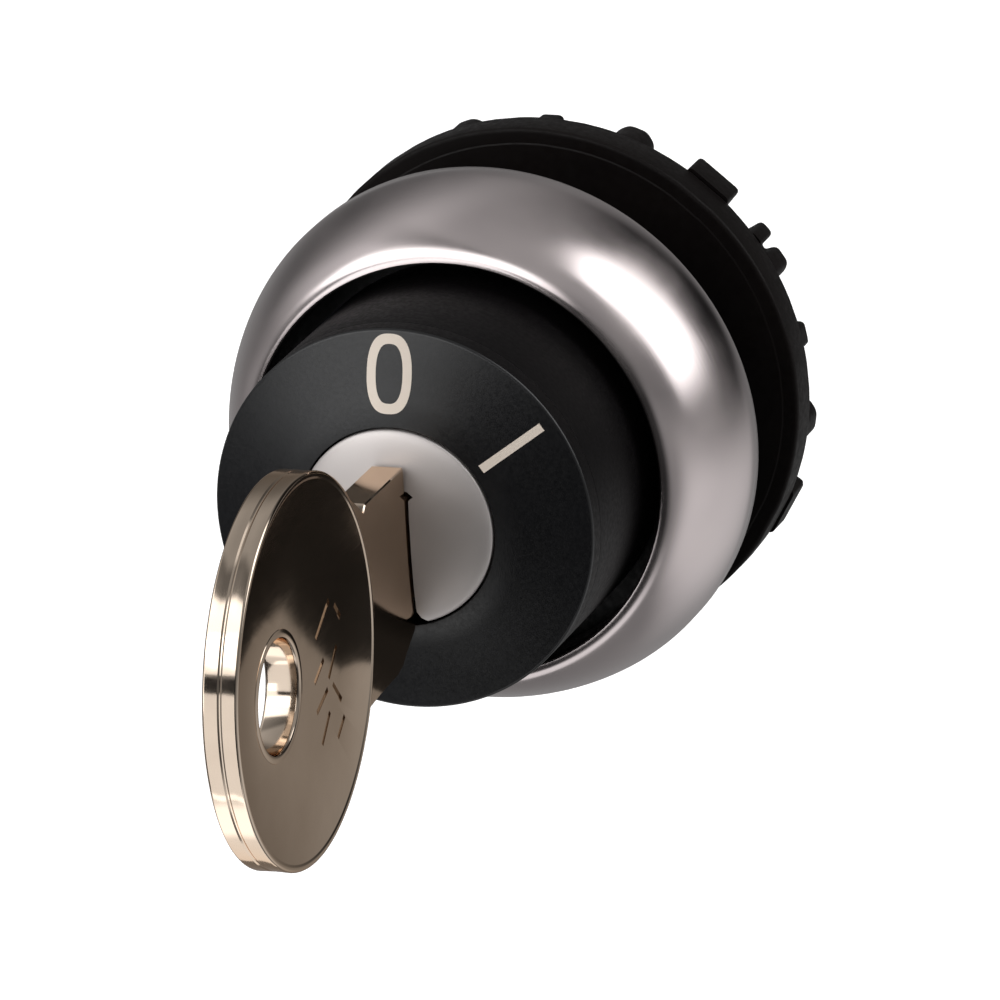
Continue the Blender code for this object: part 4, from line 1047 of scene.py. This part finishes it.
# White cards near the switch, out of the camera's sight, in millimetres: left and right edge, one
# edge's (y, z), the other edge's (y, z), and brightness.  The first three stand, the last lies flat.
CARDS = (
    (-66.0, -22.0, (-84.0, -7.0), (-84.0, 36.0), 1.9),
    (-22.0, -8.0, (-84.0, 12.6), (-84.0, 36.0), 1.9),
    (-17.0, -1.0, (-60.0, -36.0), (-60.0, 1.6), 1.3),
    (-13.0, 2.0, (-34.0, -20.0), (-53.0, -20.0), 1.1),
)
WARM_WHITE = (1.0, 0.99, 0.99, 1.0)
FLOOR_Z = -110.0 * MM
FLOOR_REACH = 3.0
CAMERA_AZIMUTH, CAMERA_ELEVATION, CAMERA_ROLL = 19.893, 18.631, -3.252
CAMERA_DISTANCE = 600.0 * MM
CAMERA_LENS = 401.4
# Where the camera looks, and how far its frame is shifted to the right and down
CAMERA_TARGET = Vector((0.0, -0.5 * MM, 0.0))
CAMERA_SHIFT = (0.087 * MM, 3.90 * MM)


def towards(azimuth, elevation):
    """Unit vector to an azimuth and elevation in degrees."""
    around, up = math.radians(azimuth), math.radians(elevation)
    return Vector((math.sin(around) * math.cos(up), -math.cos(around) * math.cos(up), math.sin(up)))


def panel_mask(tree, direction, azimuth, elevation, half_width, half_height, softness):
    """1 inside a soft-edged panel of the surroundings and 0 outside it."""
    ahead = towards(azimuth, elevation)
    right = towards(azimuth + 90.0, 0.0)
    spans = []
    for axis, half in ((right, half_width), (right.cross(ahead), half_height), (ahead, 90.0)):
        across = axis / math.sin(math.radians(half))
        spans.append(node(tree, "ShaderNodeVectorMath", {0: direction, 1: across},
                          operation="DOT_PRODUCT").outputs["Value"])
    fourths = [calculated(tree, "POWER", calculated(tree, "ABSOLUTE", span), 4.0) for span in spans[:2]]
    distance = calculated(tree, "POWER", calculated(tree, "ADD", *fourths), 0.25)
    edge = node(tree, "ShaderNodeMapRange", {"From Min": 1.0 + softness, "From Max": 1.0 - softness,
                                             "Value": distance}, interpolation_type="SMOOTHSTEP")
    facing = calculated(tree, "GREATER_THAN", spans[2], 0.0)
    return calculated(tree, "MULTIPLY", edge.outputs["Result"], facing)


def make_world():
    """Studio surroundings: grey walls, soft panels and dark cloths; white to the camera."""
    world = bpy.data.worlds.new("studio")
    bpy.context.scene.world = world
    world.use_nodes = True
    tree = world.node_tree
    direction = node(tree, "ShaderNodeTexCoord").outputs["Generated"]
    up = node(tree, "ShaderNodeSeparateXYZ", {"Vector": direction}).outputs["Z"]
    height = node(tree, "ShaderNodeMapRange", {"From Min": -1.0, "Value": up}).outputs["Result"]
    ramp = node(tree, "ShaderNodeValToRGB", {"Fac": height})
    elements = ramp.color_ramp.elements
    while len(elements) < len(WALLS):
        elements.new(0.5)
    for element, (place_on_ramp, grey) in zip(elements, WALLS):
        element.position = place_on_ramp
        element.color = (grey, grey, grey, 1.0)
    light = ramp.outputs["Color"]
    for *shape, share in CLOTHS:
        mask = panel_mask(tree, direction, *shape)
        light = calculated(tree, "MULTIPLY", light, calculated(tree, "MULTIPLY_ADD", mask, -share, 1.0))
    for *shape, brightness in PANELS:
        light = calculated(tree, "MULTIPLY_ADD", panel_mask(tree, direction, *shape), brightness, light)
    to_camera = node(tree, "ShaderNodeLightPath").outputs["Is Camera Ray"]
    mix = node(tree, "ShaderNodeMix", {"Factor": to_camera, "A": light, "B": WARM_WHITE}, data_type="RGBA")
    tree.links.new(mix.outputs["Result"], tree.nodes["Background"].inputs["Color"])


def make_cards():
    """Near cards that show in the key's rim, the dial and the plug."""
    for index, (left, right, first, second, brightness) in enumerate(CARDS):
        start = Vector((0.0, *first)) * MM
        run = Vector((0.0, *second)) * MM - start
        width = (right - left) * MM
        data = bpy.data.lights.new(f"card_{index + 1}", "AREA")
        data.shape = "RECTANGLE"
        data.size, data.size_y = width, run.length
        data.energy = brightness * math.pi * width * run.length
        card = linked(f"card_{index + 1}", data)
        middle = start + run / 2 + Vector((0.5 * (left + right) * MM, 0.0, 0.0))
        across = Vector((1.0, 0.0, 0.0))
        basis = Matrix((across, run.normalized(), across.cross(run.normalized()))).transposed().to_4x4()
        card.matrix_world = Matrix.Translation(middle) @ basis
        card.visible_camera = False


def make_floor():
    """Large pale floor, lit through like a light table, well below the switch."""
    bm = bmesh.new()
    bmesh.ops.create_grid(bm, x_segments=1, y_segments=1, size=FLOOR_REACH)
    mesh = bpy.data.meshes.new("floor")
    bm.to_mesh(mesh)
    bm.free()
    floor = linked("floor", mesh)
    floor.location = (0.0, 0.0, FLOOR_Z)
    floor.visible_glossy = False
    floor.visible_diffuse = False
    floor.visible_shadow = False
    made, _, shader = shader_of("pale_floor", (0.8, 0.8, 0.8), 0.8, 0.0)
    shader.inputs["Specular IOR Level"].default_value = 0.0
    shader.inputs["Emission Color"].default_value = WARM_WHITE
    shader.inputs["Emission Strength"].default_value = 0.6
    mesh.materials.append(made)


def make_camera():
    """Long lens, above and to the right of the face, with a slight roll."""
    roll = math.radians(CAMERA_ROLL)
    back = towards(CAMERA_AZIMUTH, CAMERA_ELEVATION)
    right = (-back).cross(Vector((0.0, 0.0, 1.0))).normalized()
    up = right.cross(-back)
    across = right * math.cos(roll) + up * math.sin(roll)
    upward = -right * math.sin(roll) + up * math.cos(roll)
    data = bpy.data.cameras.new("camera")
    data.sensor_width = 36.0
    data.lens = CAMERA_LENS
    data.clip_start = 0.01
    data.clip_end = 20.0
    camera = linked("camera", data)
    aside, down = CAMERA_SHIFT
    location = CAMERA_TARGET + back * CAMERA_DISTANCE + across * aside - upward * down
    basis = Matrix((across, upward, back)).transposed().to_4x4()
    camera.matrix_world = Matrix.Translation(location) @ basis
    bpy.context.scene.camera = camera


def cad_looks():
    """Procedural materials on the CAD nodes that stay."""
    looks = {
        "lock_sleeve": ZINC, "plug_seal": RUBBER, "plug_clip": STEEL, "drive_cam": WHITE,
        "detent_pin": STEEL,
    }
    for index in range(1, WAFER_COUNT + 1):
        looks[f"wafer_{index}"] = BRASS
        looks[f"wafer_spring_{index}"] = STEEL
    for name, surface in looks.items():
        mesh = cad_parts[name].data
        mesh.materials.clear()
        mesh.materials.append(surface)


make_camera()
cad_looks()
make_front_ring()
make_gasket()
make_collar()
make_dial()
make_marks()
make_plug()
make_key()
make_ring_nut()
make_barrel()
make_rear_cover()
make_plungers()
make_springs()
make_floor()
make_cards()
make_world()
bpy.context.scene.view_settings.view_transform = "Standard"
